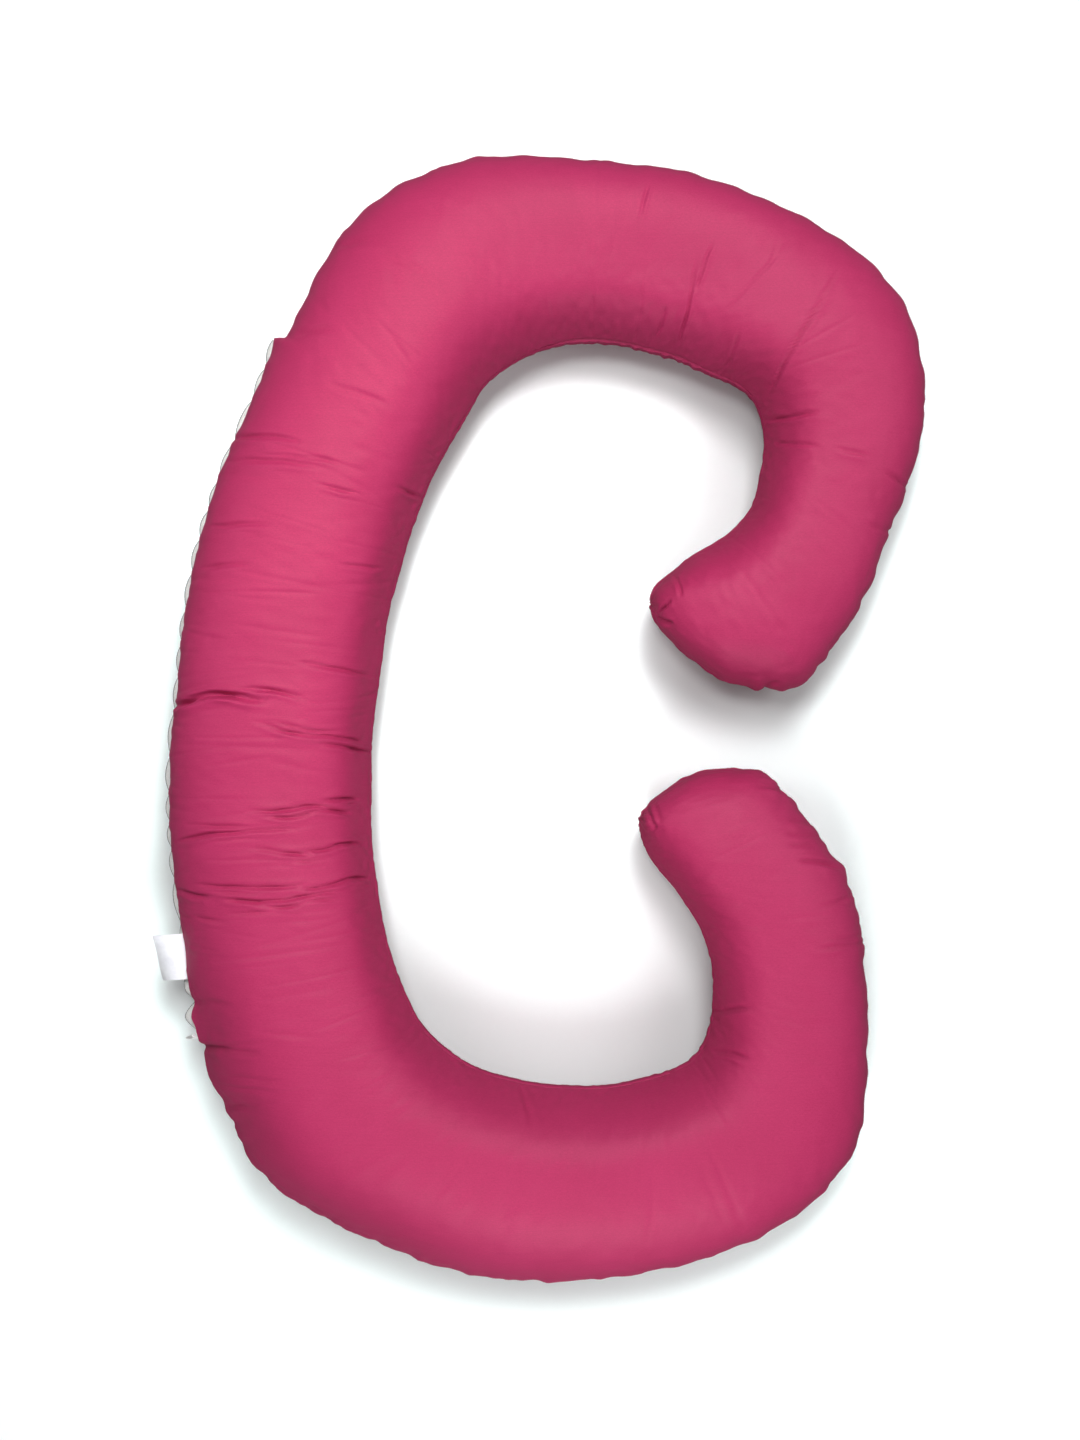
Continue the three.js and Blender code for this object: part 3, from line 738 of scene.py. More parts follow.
def around_distance():
    """How far each point lies from the outer and from the inner seam, along the cloth."""
    steps = np.linalg.norm(np.roll(points, -1, 1) - points, axis=2)
    lengths = np.concatenate([np.zeros((len(rows), 1)), np.cumsum(steps, 1)], 1)
    girth = lengths[:, -1:]
    from_outer = np.minimum(lengths[:, :-1], girth - lengths[:, :-1])
    from_inner = np.abs(lengths[:, :-1] - lengths[:, AROUND // 2][:, None])
    return from_outer, from_inner


from_outer, from_inner = around_distance()
in_zip = channel_share(rows)[:, None]
top_side = np.where(np.arange(AROUND) < AROUND // 2, 1, 0)


def pucker(place, distance, seeds, pitch, height):
    """Puckers on both sides of a seam, high a few millimetres from it and gone by three reaches."""
    rise = distance / PUCKER_REACH * np.exp(1 - distance / PUCKER_REACH)
    above, below = (uneven_wave(place, pitch, seed)[:, None] for seed in seeds)
    return height * rise * np.where(top_side, above, below)


outer_run = np.interp(rows, fine_rows, outer_length)
inner_run = np.interp(rows, fine_rows, running_length("inner"))
outer_bend = bells(rows, (33, 2.6, 1), (43, 3.4, 1), (5, 2, 1))
outer_height = (0.4 + 0.9 * outer_bend)[:, None] * MM * (1 - 0.75 * in_zip)
inner_bend = bells(rows, (13.5, 2.6, 1), (37, 3, 0.6))
inner_height = (0.1 + 1.2 * inner_bend)[:, None] * MM * np.where(top_side, 0.45, 0.9)
groove = SEAM_GROOVE * (np.exp(-(from_inner / SEAM_WIDTH) ** 2)
                        + (1 - in_zip) * np.exp(-(from_outer / SEAM_WIDTH) ** 2))
beyond_zip = np.maximum(from_outer - 16 * MM * in_zip, 0)
puckers = (pucker(outer_run, beyond_zip, (1, 2), OUTER_PITCH, outer_height)
           + pucker(inner_run, from_inner, (3, 4), INNER_PITCH, inner_height))


def nose_folds():
    """Gathers that run out from the two noses."""
    relief = np.zeros(points.shape[:2])
    for pole, seed in ((0, 11), (-1, 12)):
        rng = np.random.default_rng(seed)
        away = np.linalg.norm(points - points[pole].mean(0), axis=2)
        wave = sum(rng.uniform(0.5, 1) * np.sin(np.radians(angles) * count + rng.uniform(0, 6))
                   for count in (5, 8, 11))
        relief += NOSE_FOLD * wave * smoothstep(away, 2 * MM, 12 * MM) * np.exp(-(away / NOSE_REACH) ** 1.5)
    return relief


print(f"puckers: up to {puckers.max() / MM:.1f} mm high")


# %% [markdown]
# ## Putting the cover together
#
# Everything so far is relief on the smooth cover: the trial cloth's wrinkles, the named and the faint
# creases, the seams, and a slow unevenness of the filling. It is added along the normals, and what
# would reach under the floor is pressed flat again.

# %% Cover mesh
SHOULDERS = named("row spread angle width height", [
    (25.5, 6, 136, 13, 5.0),
    (14.6, 2.4, 108, 34, -15.0),
    (14.4, 2.3, 48, 24, 4.0),
    (29.95, 0.28, 38, 20, -3.5),
    (30.65, 0.3, 38, 18, 2.5),
    (31.3, 0.35, 40, 18, -2.0),
    (14, 13, 42, 24, 2.5),
    (41, 6, 42, 24, 2.5),
])


def sampled(grid, grid_rows):
    """The trial's relief on the fine grid, smooth between its rows and angles."""
    place = np.interp(rows, grid_rows, np.arange(len(grid_rows)))
    by_row = through(grid, place)
    step = 360 / grid.shape[1]
    low = np.floor(angles / step).astype(int)
    t = angles / step - low
    neighbours = (np.take_along_axis(by_row, (low + k) % grid.shape[1], 1) for k in (-1, 0, 1, 2))
    return between(*neighbours, t)


def slow_lumps():
    """Unevenness of the filling, a few long waves along and round the tube."""
    rng = np.random.default_rng(5)
    place = np.interp(rows, fine_rows, mean_length)[:, None]
    total = np.zeros(points.shape[:2])
    for _ in range(14):
        pitch = rng.uniform(0.09, 0.3)
        turns = rng.integers(1, 5)
        phase, twist = rng.uniform(0, 6, 2)
        total += np.sin(2 * np.pi * place / pitch + phase) * np.cos(np.radians(angles) * turns + twist)
    return LUMP * total


def shoulders():
    """Where the cloth is pulled flat over the filling and turns down sharply, or falls in."""
    total = np.zeros(points.shape[:2])
    for n in range(len(SHOULDERS["row"])):
        row, spread, angle, width, height = (SHOULDERS[name][n] for name in SHOULDERS)
        by_row = np.exp(-((rows - row) / spread) ** 4)[:, None]
        total += height * MM * by_row * np.exp(-((angles - angle) / width) ** 2)
    return total


clear_of_zip = 1 - in_zip * (1 - smoothstep(from_outer, 0.012, 0.03))
relief = sampled(trial_relief, trial_rows) + slow_lumps() + shoulders() - crease_depth - faint_depth
relief = relief * clear_of_zip * np.clip(half_width / (SLENDER / 2), 0, 1)[:, None]
relief = relief + puckers - groove + nose_folds()
shaped = points + normals * relief[..., None]
shaped[..., 2] = np.maximum(shaped[..., 2], 0)
cushion = grid_mesh("stuffed_cover", shaped)
set_normals_outside(cushion)
print(f"cover: {len(cushion.data.vertices)} points, {len(cushion.data.polygons)} faces")


# %% [markdown]
# The weave runs straight across each flat panel, as it was cut. So the UV map is that flat panel: a
# point's place across the tube is its distance along the cloth from the crown or from the belly, laid
# out flat. Where a panel meets the other one, the map breaks, as the cloth does at the seam.

# %% Cover UV map
def panel_map():
    """Flat coordinates of every point on the upper and on the lower panel."""
    middle, outward = sections(rows)[:2]
    steps = np.linalg.norm(np.roll(shaped, -1, 1) - shaped, axis=2)
    lengths = np.concatenate([np.zeros((len(rows), 1)), np.cumsum(steps, 1)], 1)
    quarter, half, back = AROUND // 4, AROUND // 2, AROUND
    run = lengths[:, :half + 1] - lengths[:, quarter][:, None]
    top = middle[:, None] - outward[:, None] * run[..., None]
    run = lengths[:, half:back + 1] - lengths[:, half + quarter][:, None]
    under = middle[:, None] + outward[:, None] * run[..., None] + (1.3, 0)
    return top, under


def map_panels():
    top, under = panel_map()
    half = AROUND // 2
    layer = cushion.data.uv_layers.new(name="Panels").data
    mesh = cushion.data
    corners = np.zeros(len(mesh.loops), int)
    totals = np.zeros(len(mesh.polygons), int)
    mesh.loops.foreach_get("vertex_index", corners)
    mesh.polygons.foreach_get("loop_total", totals)
    first_pole = (len(rows) - 2) * AROUND
    ring = np.where(corners < first_pole, corners // AROUND + 1, (corners - first_pole) * (len(rows) - 1))
    spot = np.where(corners < first_pole, corners % AROUND, half // 2)
    face = np.repeat(np.arange(len(totals)), totals)
    highest = np.zeros(len(totals), int)
    on_ring = corners < first_pole
    np.maximum.at(highest, face[on_ring], spot[on_ring])
    below = (highest > half)[face]
    spot = np.where(below & (spot == 0), AROUND, spot)
    spot = np.where(below & ~on_ring, half + half // 2, spot)
    under_spot, top_spot = np.maximum(spot - half, 0), np.minimum(spot, half)
    flat = np.where(below[:, None], under[ring, under_spot], top[ring, top_spot])
    layer.foreach_set("uv", flat.ravel())


map_panels()
print("cover: panels mapped flat")


# %% [markdown]
# ## Sateen
#
# The cloth is a dyed cotton sateen. Its long floats lie side by side, so it is smooth and softly
# shiny, with a fine grain along both threads and now and then a thicker thread. The colour is one dye,
# a little uneven, with a few pale specks of lint. A low specular level and a middling roughness give
# the broad, soft shine. A sheen would brighten the edges, which are dark in the photograph.

# %% Sateen material
def node(tree, kind, **inputs):
    """Adds a shader node and sets its inputs, given by name with _ for a space."""
    made = tree.nodes.new(kind)
    for name, value in inputs.items():
        made.inputs[name.replace("_", " ")].default_value = value
    return made


def new_material(name):
    """A material with an empty tree but for its output and shader."""
    material = bpy.data.materials.new(name)
    material.use_nodes = True
    tree = material.node_tree
    return material, tree, tree.nodes["Principled BSDF"]


def object_place(tree):
    return tree.nodes.new("ShaderNodeTexCoord").outputs["Object"]


def stretched_noise(tree, vector, size, scale, detail=2.0):
    """Noise in threads: size is how often it repeats in a metre along x, y and z."""
    mapping = node(tree, "ShaderNodeMapping")
    mapping.inputs["Scale"].default_value = size
    tree.links.new(vector, mapping.inputs["Vector"])
    noise = node(tree, "ShaderNodeTexNoise", Scale=scale, Detail=detail, Roughness=0.6)
    tree.links.new(mapping.outputs["Vector"], noise.inputs["Vector"])
    return noise.outputs["Fac"]


def math_node(tree, operation, first, second):
    made = tree.nodes.new("ShaderNodeMath")
    made.operation = operation
    for socket, value in zip(made.inputs, (first, second)):
        if isinstance(value, (int, float)):
            socket.default_value = value
        else:
            tree.links.new(value, socket)
    return made.outputs[0]


def blend_colour(tree, amount, low, high, low_at=0.3, high_at=0.7):
    ramp = tree.nodes.new("ShaderNodeValToRGB")
    ramp.color_ramp.elements[0].position = low_at
    ramp.color_ramp.elements[1].position = high_at
    ramp.color_ramp.elements[0].color = (*low, 1)
    ramp.color_ramp.elements[1].color = (*high, 1)
    tree.links.new(amount, ramp.inputs["Fac"])
    return ramp.outputs["Color"]


def bump(tree, height, distance, strength=1.0, normal=None):
    made = node(tree, "ShaderNodeBump", Strength=strength, Distance=distance)
    tree.links.new(height, made.inputs["Height"])
    if normal is not None:
        tree.links.new(normal, made.inputs["Normal"])
    return made.outputs["Normal"]


LINT_PER_METRE, LINT_SIZE = 9, 0.7 * MM


def sateen():
    material, tree, shader = new_material("raspberry_sateen")
    uv = tree.nodes.new("ShaderNodeUVMap")
    uv.uv_map = "Panels"
    flat = uv.outputs["UV"]
    warp = stretched_noise(tree, flat, (1, 0.5, 1), 900)
    weft = stretched_noise(tree, flat, (0.25, 1, 1), 900)
    slubs = stretched_noise(tree, flat, (0.04, 1, 1), 420, 1)
    cloudy = stretched_noise(tree, flat, (1, 1, 1), 9, 3)
    threads = math_node(tree, "ADD", math_node(tree, "MULTIPLY", warp, 0.5),
                        math_node(tree, "MULTIPLY", weft, 0.5))
    tone = math_node(tree, "ADD", math_node(tree, "MULTIPLY", threads, 0.7),
                     math_node(tree, "ADD", math_node(tree, "MULTIPLY", slubs, 0.1),
                               math_node(tree, "MULTIPLY", cloudy, 0.2)))
    colour = blend_colour(tree, tone, (0.43, 0.0262, 0.109), (0.506, 0.0365, 0.143), 0.38, 0.62)
    lint = tree.nodes.new("ShaderNodeTexVoronoi")
    lint.inputs["Scale"].default_value = LINT_PER_METRE
    tree.links.new(flat, lint.inputs["Vector"])
    speck = math_node(tree, "LESS_THAN", lint.outputs["Distance"], LINT_SIZE * LINT_PER_METRE)
    dusted = tree.nodes.new("ShaderNodeMix")
    dusted.data_type = "RGBA"
    dusted.inputs["B"].default_value = (0.62, 0.22, 0.3, 1)
    tree.links.new(speck, dusted.inputs["Factor"])
    tree.links.new(colour, dusted.inputs["A"])
    tree.links.new(dusted.outputs["Result"], shader.inputs["Base Color"])
    rough = math_node(tree, "ADD", math_node(tree, "MULTIPLY", threads, 0.1), 0.5)
    tree.links.new(rough, shader.inputs["Roughness"])
    shader.inputs["Specular IOR Level"].default_value = 0.28
    fine = bump(tree, threads, 0.00018, 0.8)
    crumple = stretched_noise(tree, flat, (1, 1, 1), 55, 3)
    tree.links.new(bump(tree, crumple, 0.0006, 0.35, fine), shader.inputs["Normal"])
    return material


cushion.data.materials.append(sateen())
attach(cushion, "root")
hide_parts("pillow")


# %% [markdown]
# ## The zip
#
# A zip is two woven tapes with a nylon coil along each edge, pulled together by a slider. The tapes
# are ruled surfaces between the seam and the coil, so they are grids with a thickness. One coil turn
# is modelled once and copied along each tape.

# %% Places by the outer seam
TAPE_ROOT, TAPE_SINK = 11 * MM, 0.6 * MM
CHAIN_TALL, CHAIN_GAP = 5.4 * MM, 0.5 * MM


def beside_seam(at_rows, out, up):
    """Points so far out from the bottom of the zip's hollow, and so high above the seam."""
    at_rows, out, up = np.broadcast_arrays(np.atleast_1d(at_rows), out, up)
    seam_points = cover(at_rows, np.zeros((len(at_rows), 1)))[:, 0]
    outward, seam = sections(at_rows)[1], sections(at_rows)[5]
    flat = seam_points[:, :2] + outward * out[:, None]
    return np.column_stack([flat, seam + up])


def chain_out(at_rows):
    return 2 * CHAIN_GAP + ARC_RISE * arc_rise(at_rows)


def rows_by_length(start, end, spacing):
    """Rows between two places along the outer seam, evenly spaced."""
    count = round((end - start) / spacing)
    return np.interp(np.linspace(start, end, count + 1), outer_length, fine_rows)


def primitive(kind, **settings):
    """Adds a primitive with nothing else selected."""
    bpy.ops.object.select_all(action="DESELECT")
    getattr(bpy.ops.mesh, f"primitive_{kind}_add")(**settings)
    return bpy.context.active_object


def tube_faces(count, size):
    """Faces through count rings of size points each, closed at both ends."""
    faces = []
    for k in range(count - 1):
        for i in range(size):
            j = (i + 1) % size
            faces.append((k * size + i, k * size + j, (k + 1) * size + j, (k + 1) * size + i))
    last = (count - 1) * size
    return faces + [tuple(range(size))[::-1], tuple(last + i for i in range(size))]


def strip(name, outline, material):
    """A piece through the same outline at each of many places, closed at both ends."""
    piece = new_piece(name, outline.reshape(-1, 3).tolist(), tube_faces(*outline.shape[:2]))
    set_normals_outside(piece)
    piece.data.shade_smooth()
    piece.data.materials.append(material)
    return piece


# %% Zip tapes
def tape_weave():
    material, tree, shader = new_material("white_tape_weave")
    place = object_place(tree)
    wave = tree.nodes.new("ShaderNodeTexWave")
    wave.bands_direction = "Y"
    wave.inputs["Scale"].default_value = 420
    wave.inputs["Distortion"].default_value = 0.6
    tree.links.new(place, wave.inputs["Vector"])
    dust = stretched_noise(tree, place, (1, 1, 1), 400)
    tree.links.new(blend_colour(tree, dust, (0.78, 0.77, 0.75), (0.88, 0.88, 0.87)),
                   shader.inputs["Base Color"])
    tree.links.new(bump(tree, wave.outputs["Fac"], 0.0002, 0.7), shader.inputs["Normal"])
    shader.inputs["Roughness"].default_value = 0.75
    shader.inputs["Sheen Weight"].default_value = 0.2
    return material


def zip_tape(name, side, material):
    at = rows_by_length(zip_start, zip_start + zip_length, 2.5 * MM)
    beside = CHAIN_TALL / 2 - 0.6 * MM
    root = CHAIN_GAP - TAPE_SINK
    out = chain_out(at)
    profile = []
    for share in np.linspace(0, 1, 7):
        lean = smoothstep(share, 0, 1)
        profile.append((root + (out - root) * lean, side * (TAPE_ROOT + (beside - TAPE_ROOT) * share)))
    under = [beside_seam(at, o + 0.1 * MM, u) for o, u in profile]
    over = [beside_seam(at, o + 0.9 * MM, u) for o, u in profile]
    piece = strip(name, np.stack(under + over[::-1], 1), material)
    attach(piece, "root")
    return piece


weave = tape_weave()
for side, word in ((1, "upper"), (-1, "lower")):
    tape = zip_tape(f"tape_{word}", side, weave)
    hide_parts(f"zip_tape_{word}")
    print(f"{tape.name}: {len(tape.data.polygons)} faces")


# %% [markdown]
# A coil turn seen from outside is a short rounded bar across the zip, with a thicker head at the
# middle where it locks between two turns of the other coil. We bevel a small block and widen its head,
# then place copies half a pitch apart, the right-hand ones turned about. A thin near-black cord runs
# along each coil's outside as painted shade: seen from above, it is the fine dark line along the zip.

# %% Zip coil
COIL_PITCH = 1.5 * MM
# Size and place of the near-black cord that paints the shade line along the zip's outside.
SHADE_CORD_RADIUS, SHADE_CORD_OUT, SHADE_CORD_UP, SHADE_CORD_SIDES = 0.55 * MM, 1.3 * MM, 1.6 * MM, 6


def white_nylon():
    material, tree, shader = new_material("white_nylon")
    haze = stretched_noise(tree, object_place(tree), (1, 1, 1), 120)
    tree.links.new(blend_colour(tree, haze, (0.80, 0.80, 0.79), (0.88, 0.88, 0.88)),
                   shader.inputs["Base Color"])
    tree.links.new(bump(tree, haze, 0.0001, 0.3), shader.inputs["Normal"])
    shader.inputs["Roughness"].default_value = 0.33
    shader.inputs["Subsurface Weight"].default_value = 0.1
    shader.inputs["Subsurface Radius"].default_value = (0.001, 0.001, 0.001)
    return material


# Near-black colour of the cord: painted shade for the zip's shaded outer edge.
def painted_shade_material():
    material, tree, shader = new_material("painted_edge_shade")
    twist = stretched_noise(tree, object_place(tree), (1, 1, 1), 900)
    tree.links.new(blend_colour(tree, twist, (0.05, 0.05, 0.055), (0.09, 0.09, 0.09)),
                   shader.inputs["Base Color"])
    tree.links.new(bump(tree, twist, 0.0001, 0.4), shader.inputs["Normal"])
    shader.inputs["Roughness"].default_value = 0.8
    return material


def coil_turn():
    """Points and faces of one turn: x along the zip, y across it towards its head, z outward."""
    turn_piece = primitive("cube", size=1)
    bpy.ops.object.mode_set(mode="EDIT")
    bpy.ops.mesh.subdivide(number_cuts=1)
    bpy.ops.transform.resize(value=(0.85 * MM, 3.2 * MM, 1.7 * MM))
    bpy.ops.mesh.select_all(action="DESELECT")
    bpy.ops.object.mode_set(mode="OBJECT")
    for vertex in turn_piece.data.vertices:
        if vertex.co.y > 1 * MM:
            vertex.co.x *= 1.5
        vertex.co.z -= 1.2 * MM * abs(vertex.co.y / (1.6 * MM)) ** 2 * (vertex.co.z > 0) * 0.3
    modifier = turn_piece.modifiers.new("Round", "BEVEL")
    modifier.width = 0.22 * MM
    modifier.segments = 1
    bpy.ops.object.modifier_apply(modifier="Round")
    places = np.array([vertex.co for vertex in turn_piece.data.vertices])
    faces = [tuple(face.vertices) for face in turn_piece.data.polygons]
    bpy.data.objects.remove(turn_piece)
    return places, faces


def shade_line_cord(side):
    """Points and faces of the thin near-black cord along one coil's outside, a painted shade line."""
    at = rows_by_length(zip_start, zip_start + zip_length, 2.5 * MM)
    turns = 2 * math.pi * np.arange(SHADE_CORD_SIDES) / SHADE_CORD_SIDES
    lines = [beside_seam(at, chain_out(at) + SHADE_CORD_OUT + SHADE_CORD_RADIUS * math.cos(turn),
                         side * SHADE_CORD_UP + SHADE_CORD_RADIUS * math.sin(turn)) for turn in turns]
    return np.stack(lines, 1).reshape(-1, 3), tube_faces(len(at), SHADE_CORD_SIDES)


def zip_coil(material, cord_shade_material):
    turn_places, turn_faces = coil_turn()
    vertices, faces = [], []
    for side, shift in ((1, 0.0), (-1, 0.5)):
        start = zip_start + (0.5 + shift) * COIL_PITCH
        at = rows_by_length(start, zip_start + zip_length - COIL_PITCH, COIL_PITCH)
        centre = beside_seam(at, chain_out(at) + 0.7 * MM, side * 1.25 * MM)
        tangent = np.gradient(centre, axis=0)
        tangent[:, 2] = 0
        tangent /= np.linalg.norm(tangent, axis=1, keepdims=True)
        upward = np.array((0, 0, 1.0))
        outward = np.cross(tangent, upward)
        outward *= np.sign((outward[:, :2] * sections(at)[1]).sum(1))[:, None]
        for spot, along, out in zip(centre, tangent, outward):
            base = len(vertices)
            local = turn_places
            placed = (spot + local[:, :1] * along + local[:, 1:2] * (-side * upward) + local[:, 2:] * out)
            vertices.extend(placed.tolist())
            faces.extend(tuple(base + i for i in face) for face in turn_faces)
    turns = len(faces)
    # The near-black cords along both coils, painted shade lines.
    for side in (1, -1):
        base = len(vertices)
        points, cord_faces = shade_line_cord(side)
        vertices.extend(points.tolist())
        faces.extend(tuple(base + i for i in face) for face in cord_faces)
    piece = new_piece("zip_coil", vertices, faces)
    set_normals_outside(piece)
    piece.data.materials.append(material)
    piece.data.materials.append(cord_shade_material)
    for face in piece.data.polygons[turns:]:
        face.material_index = 1
    return piece


nylon = white_nylon()
coil = zip_coil(nylon, painted_shade_material())
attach(coil, "root")
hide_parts("zip_chain")
print(f"zip coil: {len(coil.data.polygons)} faces")


# %% [markdown]
# The slider sits just past the last coil turn. Its body is two plates with a slot between them, so we
# start from a block, taper its far end, sink a groove round its side and raise its face. The loop that
# holds the pull is a torus joined to it. The pull is a flat grid with one face deleted for its eye,
# extruded to its thickness. Bevels round both.

# %% Slider and pull
SLIDER_LONG, SLIDER_TALL, SLIDER_THICK = 10 * MM, 8 * MM, 4 * MM
LOOP_RADIUS, LOOP_WIRE = 2.6 * MM, 0.75 * MM
PULL_LONG, PULL_WIDE, PULL_THICK = 20 * MM, 6 * MM, 1.8 * MM
EYE_LONG, EYE_WIDE, EYE_EDGE = 2.5 * MM, 3.3 * MM, 1.3 * MM
PULL_DROOP, PULL_SWING, PULL_TWIST = 55, 9, 25  # degrees


def turned(degrees, axis):
    return Matrix.Rotation(math.radians(degrees), 4, axis)


def slider_place():
    """Where the slider is: X along the seam, Y up and Z outward."""
    wanted = zip_start + zip_length + SLIDER_LONG / 2 + CHAIN_GAP
    row = fine_rows[np.searchsorted(outer_length, wanted)]
    spot = beside_seam(row, 2 * CHAIN_GAP + SLIDER_THICK / 2, 0)[0]
    outward = Vector((*sections(np.array([row]))[1][0], 0))
    upward = Vector((0, 0, 1))
    return Matrix.Translation(spot) @ Matrix((upward.cross(outward), upward, outward)).transposed().to_4x4()


def apply_modifier(piece, kind, **settings):
    modifier = piece.modifiers.new(kind.title(), kind)
    for name, value in settings.items():
        setattr(modifier, name, value)
    select_only(piece)
    bpy.ops.object.modifier_apply(modifier=modifier.name)


def select_faces(piece, wanted):
    """Selects the faces whose middle and normal are wanted. Edit mode must be on."""
    bpy.ops.mesh.select_all(action="DESELECT")
    bpy.ops.object.mode_set(mode="OBJECT")
    for face in piece.data.polygons:
        face.select = wanted(face.center, face.normal)
    bpy.ops.object.mode_set(mode="EDIT")


def slider_body():
    piece = primitive("cube", size=1)
    bpy.ops.object.mode_set(mode="EDIT")
    bpy.ops.mesh.select_all(action="SELECT")
    bpy.ops.transform.resize(value=(SLIDER_LONG, SLIDER_TALL, SLIDER_THICK))
    bpy.ops.mesh.subdivide(number_cuts=4)
    bpy.ops.object.mode_set(mode="OBJECT")
    for vertex in piece.data.vertices:
        vertex.co.y *= 1 - 0.32 * max(vertex.co.x / (SLIDER_LONG / 2), 0) ** 2
    bpy.ops.object.mode_set(mode="EDIT")
    select_faces(piece, lambda middle, normal: abs(normal.y) > 0.7 and abs(middle.z) < SLIDER_THICK * 0.15)
    bpy.ops.mesh.extrude_region_shrink_fatten(TRANSFORM_OT_shrink_fatten={"value": -0.7 * MM})
    select_faces(piece, lambda middle, normal: normal.z > 0.7 and abs(middle.x) < SLIDER_LONG * 0.35
                 and abs(middle.y) < SLIDER_TALL * 0.25)
    bpy.ops.mesh.inset(thickness=0.4 * MM)
    bpy.ops.transform.translate(value=(0, 0, 0.4 * MM))
    bpy.ops.object.mode_set(mode="OBJECT")
    apply_modifier(piece, "BEVEL", width=0.35 * MM, segments=2)
    return piece


def pull_tab():
    columns = [-PULL_LONG / 2, -PULL_LONG / 2 + EYE_EDGE, -PULL_LONG / 2 + EYE_EDGE + EYE_LONG,
               -PULL_LONG * 0.1, PULL_LONG * 0.3, PULL_LONG / 2]
    lines = [-PULL_WIDE / 2, -EYE_WIDE / 2, EYE_WIDE / 2, PULL_WIDE / 2]
    piece = primitive("grid", x_subdivisions=5, y_subdivisions=3, size=2)
    for vertex in piece.data.vertices:
        vertex.co.x = columns[round((vertex.co.x + 1) / 2 * 5)]
        vertex.co.y = lines[round((vertex.co.y + 1) / 2 * 3)]
    bpy.ops.object.mode_set(mode="EDIT")
    middle_of_eye = -PULL_LONG / 2 + EYE_EDGE + EYE_LONG / 2
    select_faces(piece, lambda middle, normal: abs(middle.x - middle_of_eye) < EYE_LONG / 2
                 and abs(middle.y) < EYE_WIDE / 2)
    bpy.ops.mesh.delete(type="FACE")
    bpy.ops.mesh.select_all(action="SELECT")
    bpy.ops.mesh.extrude_region_move(TRANSFORM_OT_translate={"value": (0, 0, PULL_THICK)})
    bpy.ops.object.mode_set(mode="OBJECT")
    for vertex in piece.data.vertices:
        vertex.co.z -= PULL_THICK / 2
        waist = 1 - 0.16 * math.exp(-((vertex.co.x + PULL_LONG * 0.1) / (PULL_LONG * 0.2)) ** 2)
        vertex.co.y *= waist
        vertex.co.x += PULL_LONG / 2 - EYE_EDGE - EYE_LONG / 2
    set_normals_outside(piece)
    apply_modifier(piece, "BEVEL", width=0.45 * MM, segments=3)
    return piece


def finish_small(piece, name, place, material):
    piece.data.transform(place)
    piece.location, piece.rotation_euler, piece.scale = (0, 0, 0), (0, 0, 0), (1, 1, 1)
    piece.name = name
    piece.data.materials.append(material)
    set_normals_outside(piece)
    piece.data.shade_smooth()
    bpy.ops.object.shade_smooth_by_angle(angle=math.radians(40))
    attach(piece, "root")


place = slider_place()
slider = slider_body()
loop = primitive("torus", major_radius=LOOP_RADIUS, minor_radius=LOOP_WIRE,
                 major_segments=32, minor_segments=12)
loop.data.transform(Matrix.Translation((0, 0, SLIDER_THICK / 2 + LOOP_RADIUS - LOOP_WIRE)) @ turned(90, "X"))
slider.select_set(True)
bpy.context.view_layer.objects.active = slider
bpy.ops.object.join()
finish_small(slider, "slider", place, nylon)
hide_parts("zip_slider")
hang = Matrix.Translation((0, 0, SLIDER_THICK / 2 + 2 * LOOP_RADIUS - LOOP_WIRE)) @ turned(PULL_DROOP, "X")
tab = pull_tab()
finish_small(tab, "pull", place @ hang @ turned(PULL_SWING - 90, "Y") @ turned(PULL_TWIST, "X"), nylon)
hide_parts("zip_pull")
for piece, kept in ((slider, "zip_slider"), (tab, "zip_pull")):
    low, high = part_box(kept)
    corners = np.array([vertex.co for vertex in piece.data.vertices])
    print(piece.name, "off its solid's box by (mm):", np.round((corners.min(0) - low) / MM, 1),
          np.round((corners.max(0) - high) / MM, 1))


# %% [markdown]
# ## The care label
#
# A satin label is caught in the cover above the zip and bends down over it, more so at its lower end.
# It is a grid laid along a bent sheet, with a little ripple, given its thickness by a Solidify
# modifier. Nothing is printed on it.

# %% Label
LABEL_LONG, LABEL_WIDE, LABEL_THICK = 41 * MM, 57 * MM, 1 * MM
LABEL_ROW, LABEL_ABOVE = 28.81, 15 * MM
LABEL_BENDS = (26, 56)  # degrees, at its upper and at its lower end


def label_satin():
    material, tree, shader = new_material("white_label_satin")
    uv = tree.nodes.new("ShaderNodeUVMap")
    uv.uv_map = "Label"
    ribs = stretched_noise(tree, uv.outputs["UV"], (0.05, 1, 1), 1800)
    haze = stretched_noise(tree, uv.outputs["UV"], (1, 1, 1), 60)
    tree.links.new(blend_colour(tree, haze, (0.80, 0.81, 0.84), (0.87, 0.88, 0.90)),
                   shader.inputs["Base Color"])
    tree.links.new(bump(tree, ribs, 0.0001, 0.6), shader.inputs["Normal"])
    shader.inputs["Roughness"].default_value = 0.42
    return material


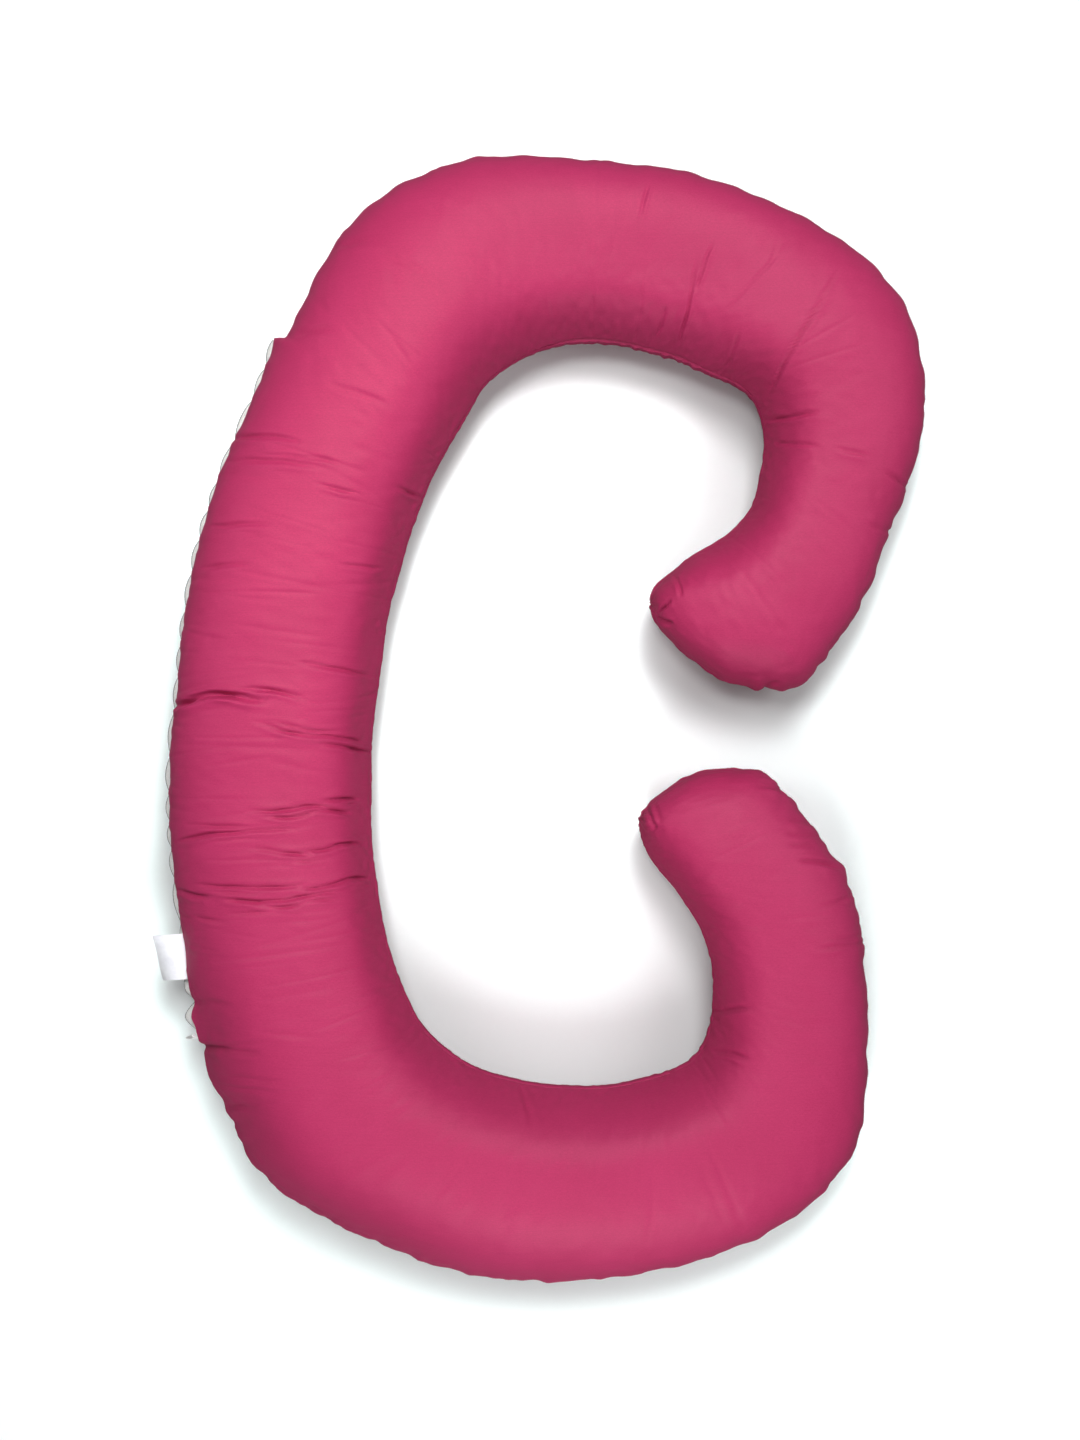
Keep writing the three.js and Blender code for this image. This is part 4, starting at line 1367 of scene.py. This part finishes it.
def care_label():
    piece = primitive("grid", x_subdivisions=24, y_subdivisions=32, size=1)
    start = outer_place(LABEL_ROW)
    root_rows = np.interp([start, start + LABEL_WIDE], outer_length, fine_rows)
    root, end = (Vector(beside_seam(row, CHAIN_GAP, LABEL_ABOVE)[0]) for row in root_rows)
    outward = Vector((*sections(np.array([root_rows.mean()]))[1][0], 0))
    layer = piece.data.uv_layers.new(name="Label").data
    for corner in piece.data.loops:
        spot = piece.data.vertices[corner.vertex_index].co
        layer[corner.index].uv = (spot.x * LABEL_LONG, spot.y * LABEL_WIDE)
    for vertex in piece.data.vertices:
        out, down = vertex.co.x + 0.5, vertex.co.y + 0.5
        bend = math.radians(LABEL_BENDS[0] + (LABEL_BENDS[1] - LABEL_BENDS[0]) * down)
        radius = LABEL_LONG / bend
        ripple = 0.5 * MM * out**2 * math.sin(7 * down + 2 * out)
        reach = radius + LABEL_THICK / 2 + ripple
        fall = Vector((0, 0, reach * math.cos(bend * out) - radius))
        vertex.co = root.lerp(end, down) + outward * reach * math.sin(bend * out) + fall
    piece.data.update()
    apply_modifier(piece, "SOLIDIFY", thickness=LABEL_THICK, offset=0)
    set_normals_outside(piece)
    piece.name = "label"
    piece.data.materials.append(label_satin())
    piece.data.shade_smooth()
    bpy.ops.object.shade_smooth_by_angle(angle=math.radians(40))
    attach(piece, "root")
    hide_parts("care_label")
    print(f"label: {len(piece.data.polygons)} faces")


care_label()


# %% [markdown]
# ## The floor, light and camera
#
# The camera hangs straight above the pillow, at the height from which the photograph's outline fits
# the real sizes. A photographer's white table is lit by one large window and several weak boxes all
# round, so the crown is bright, the flanks are darker and no shadow is hard. The strengths were found by
# rendering each light alone and comparing the sum with the photograph. The floor is white to the camera
# and grey to the light that bounces, so that it doesn't brighten the pillow's lower edges.

# %% Floor
def pale_floor():
    floor = primitive("plane", size=12)
    floor.name = "floor"
    material, tree, shader = new_material("pale_floor")
    haze = stretched_noise(tree, object_place(tree), (1, 1, 1), 2)
    white = blend_colour(tree, haze, (0.855, 0.912, 0.905), (0.875, 0.932, 0.925))
    seen = tree.nodes.new("ShaderNodeMix")
    seen.data_type = "RGBA"
    seen.inputs["A"].default_value = (0.2, 0.2, 0.2, 1)
    tree.links.new(tree.nodes.new("ShaderNodeLightPath").outputs["Is Camera Ray"], seen.inputs["Factor"])
    tree.links.new(white, seen.inputs["B"])
    tree.links.new(seen.outputs["Result"], shader.inputs["Base Color"])
    shader.inputs["Roughness"].default_value = 0.9
    shader.inputs["Specular IOR Level"].default_value = 0.1
    floor.data.materials.append(material)


pale_floor()


# %% Light
def soft_light(name, place, target, size, power, spread=180):
    light = bpy.data.lights.new(name, "AREA")
    light.shape = "DISK"
    light.size = size
    light.energy = power
    light.spread = math.radians(spread)
    piece = bpy.data.objects.new(name, light)
    scene.collection.objects.link(piece)
    direction = np.array(target, float) - np.array(place, float)
    pitch = math.atan2(math.hypot(direction[0], direction[1]), -direction[2])
    piece.visible_camera = False
    piece.location = place
    piece.rotation_euler = (pitch, 0, math.atan2(direction[1], direction[0]) - math.pi / 2)


soft_light("high_window", (0.45, 2.1, 3.8), (0.1, 0.3, 0.1), 1.6, 76.5)
soft_light("upper", (0.3, 1.8, 1.4), (0.1, 0.55, 0.1), 1.1, 3.2)
soft_light("lower", (0.1, -1.5, 1.05), (0.0, -0.6, 0.1), 0.9, 12)
soft_light("right", (1.5, 0.35, 1.4), (0.4, 0.1, 0.1), 1.1, 8)
soft_light("left", (-1.5, 0.5, 1.3), (-0.4, 0.1, 0.1), 1.1, 6)
soft_light("pool", (-0.3, 0.75, 2.9), (-0.33, 0.3, 0.18), 0.7, 2.4, spread=50)
world = bpy.data.worlds.new("soft_room")
world.use_nodes = True
world.node_tree.nodes["Background"].inputs["Color"].default_value = (1, 1, 1, 1)
world.node_tree.nodes["Background"].inputs["Strength"].default_value = 0.15
scene.world = world
scene.view_settings.view_transform = "Standard"


# %% [markdown]
# A picture on white is exposed until the table burns out. A curve does the same: dark and middle tones
# stay, and what is brighter than about three quarters becomes white.

# %% Bright exposure
WHITE_POINT = [(0.45, 0.45), (0.62, 0.66), (0.78, 1.0)]  # brightness in the scene, and in the picture
scene.view_settings.use_curve_mapping = True
mapping = scene.view_settings.curve_mapping
mapping.extend = "EXTRAPOLATED"
whole = mapping.curves[3]
whole.points[1].location = (0.95, 1.4)
for level in WHITE_POINT:
    whole.points.new(*level)
mapping.update()


# %% Camera
camera = bpy.data.objects.new("camera", bpy.data.cameras.new("camera"))
scene.collection.objects.link(camera)
camera.data.sensor_fit = "VERTICAL"
camera.data.sensor_height = 36
camera.data.lens = FOCAL_PIXELS * camera.data.sensor_height / PHOTO_TALL
camera.data.clip_start = 0.01
camera.location = (0, 0, CAMERA_HEIGHT)
scene.camera = camera
print(f"camera: {CAMERA_HEIGHT} m above the floor, lens {camera.data.lens:.1f} mm")
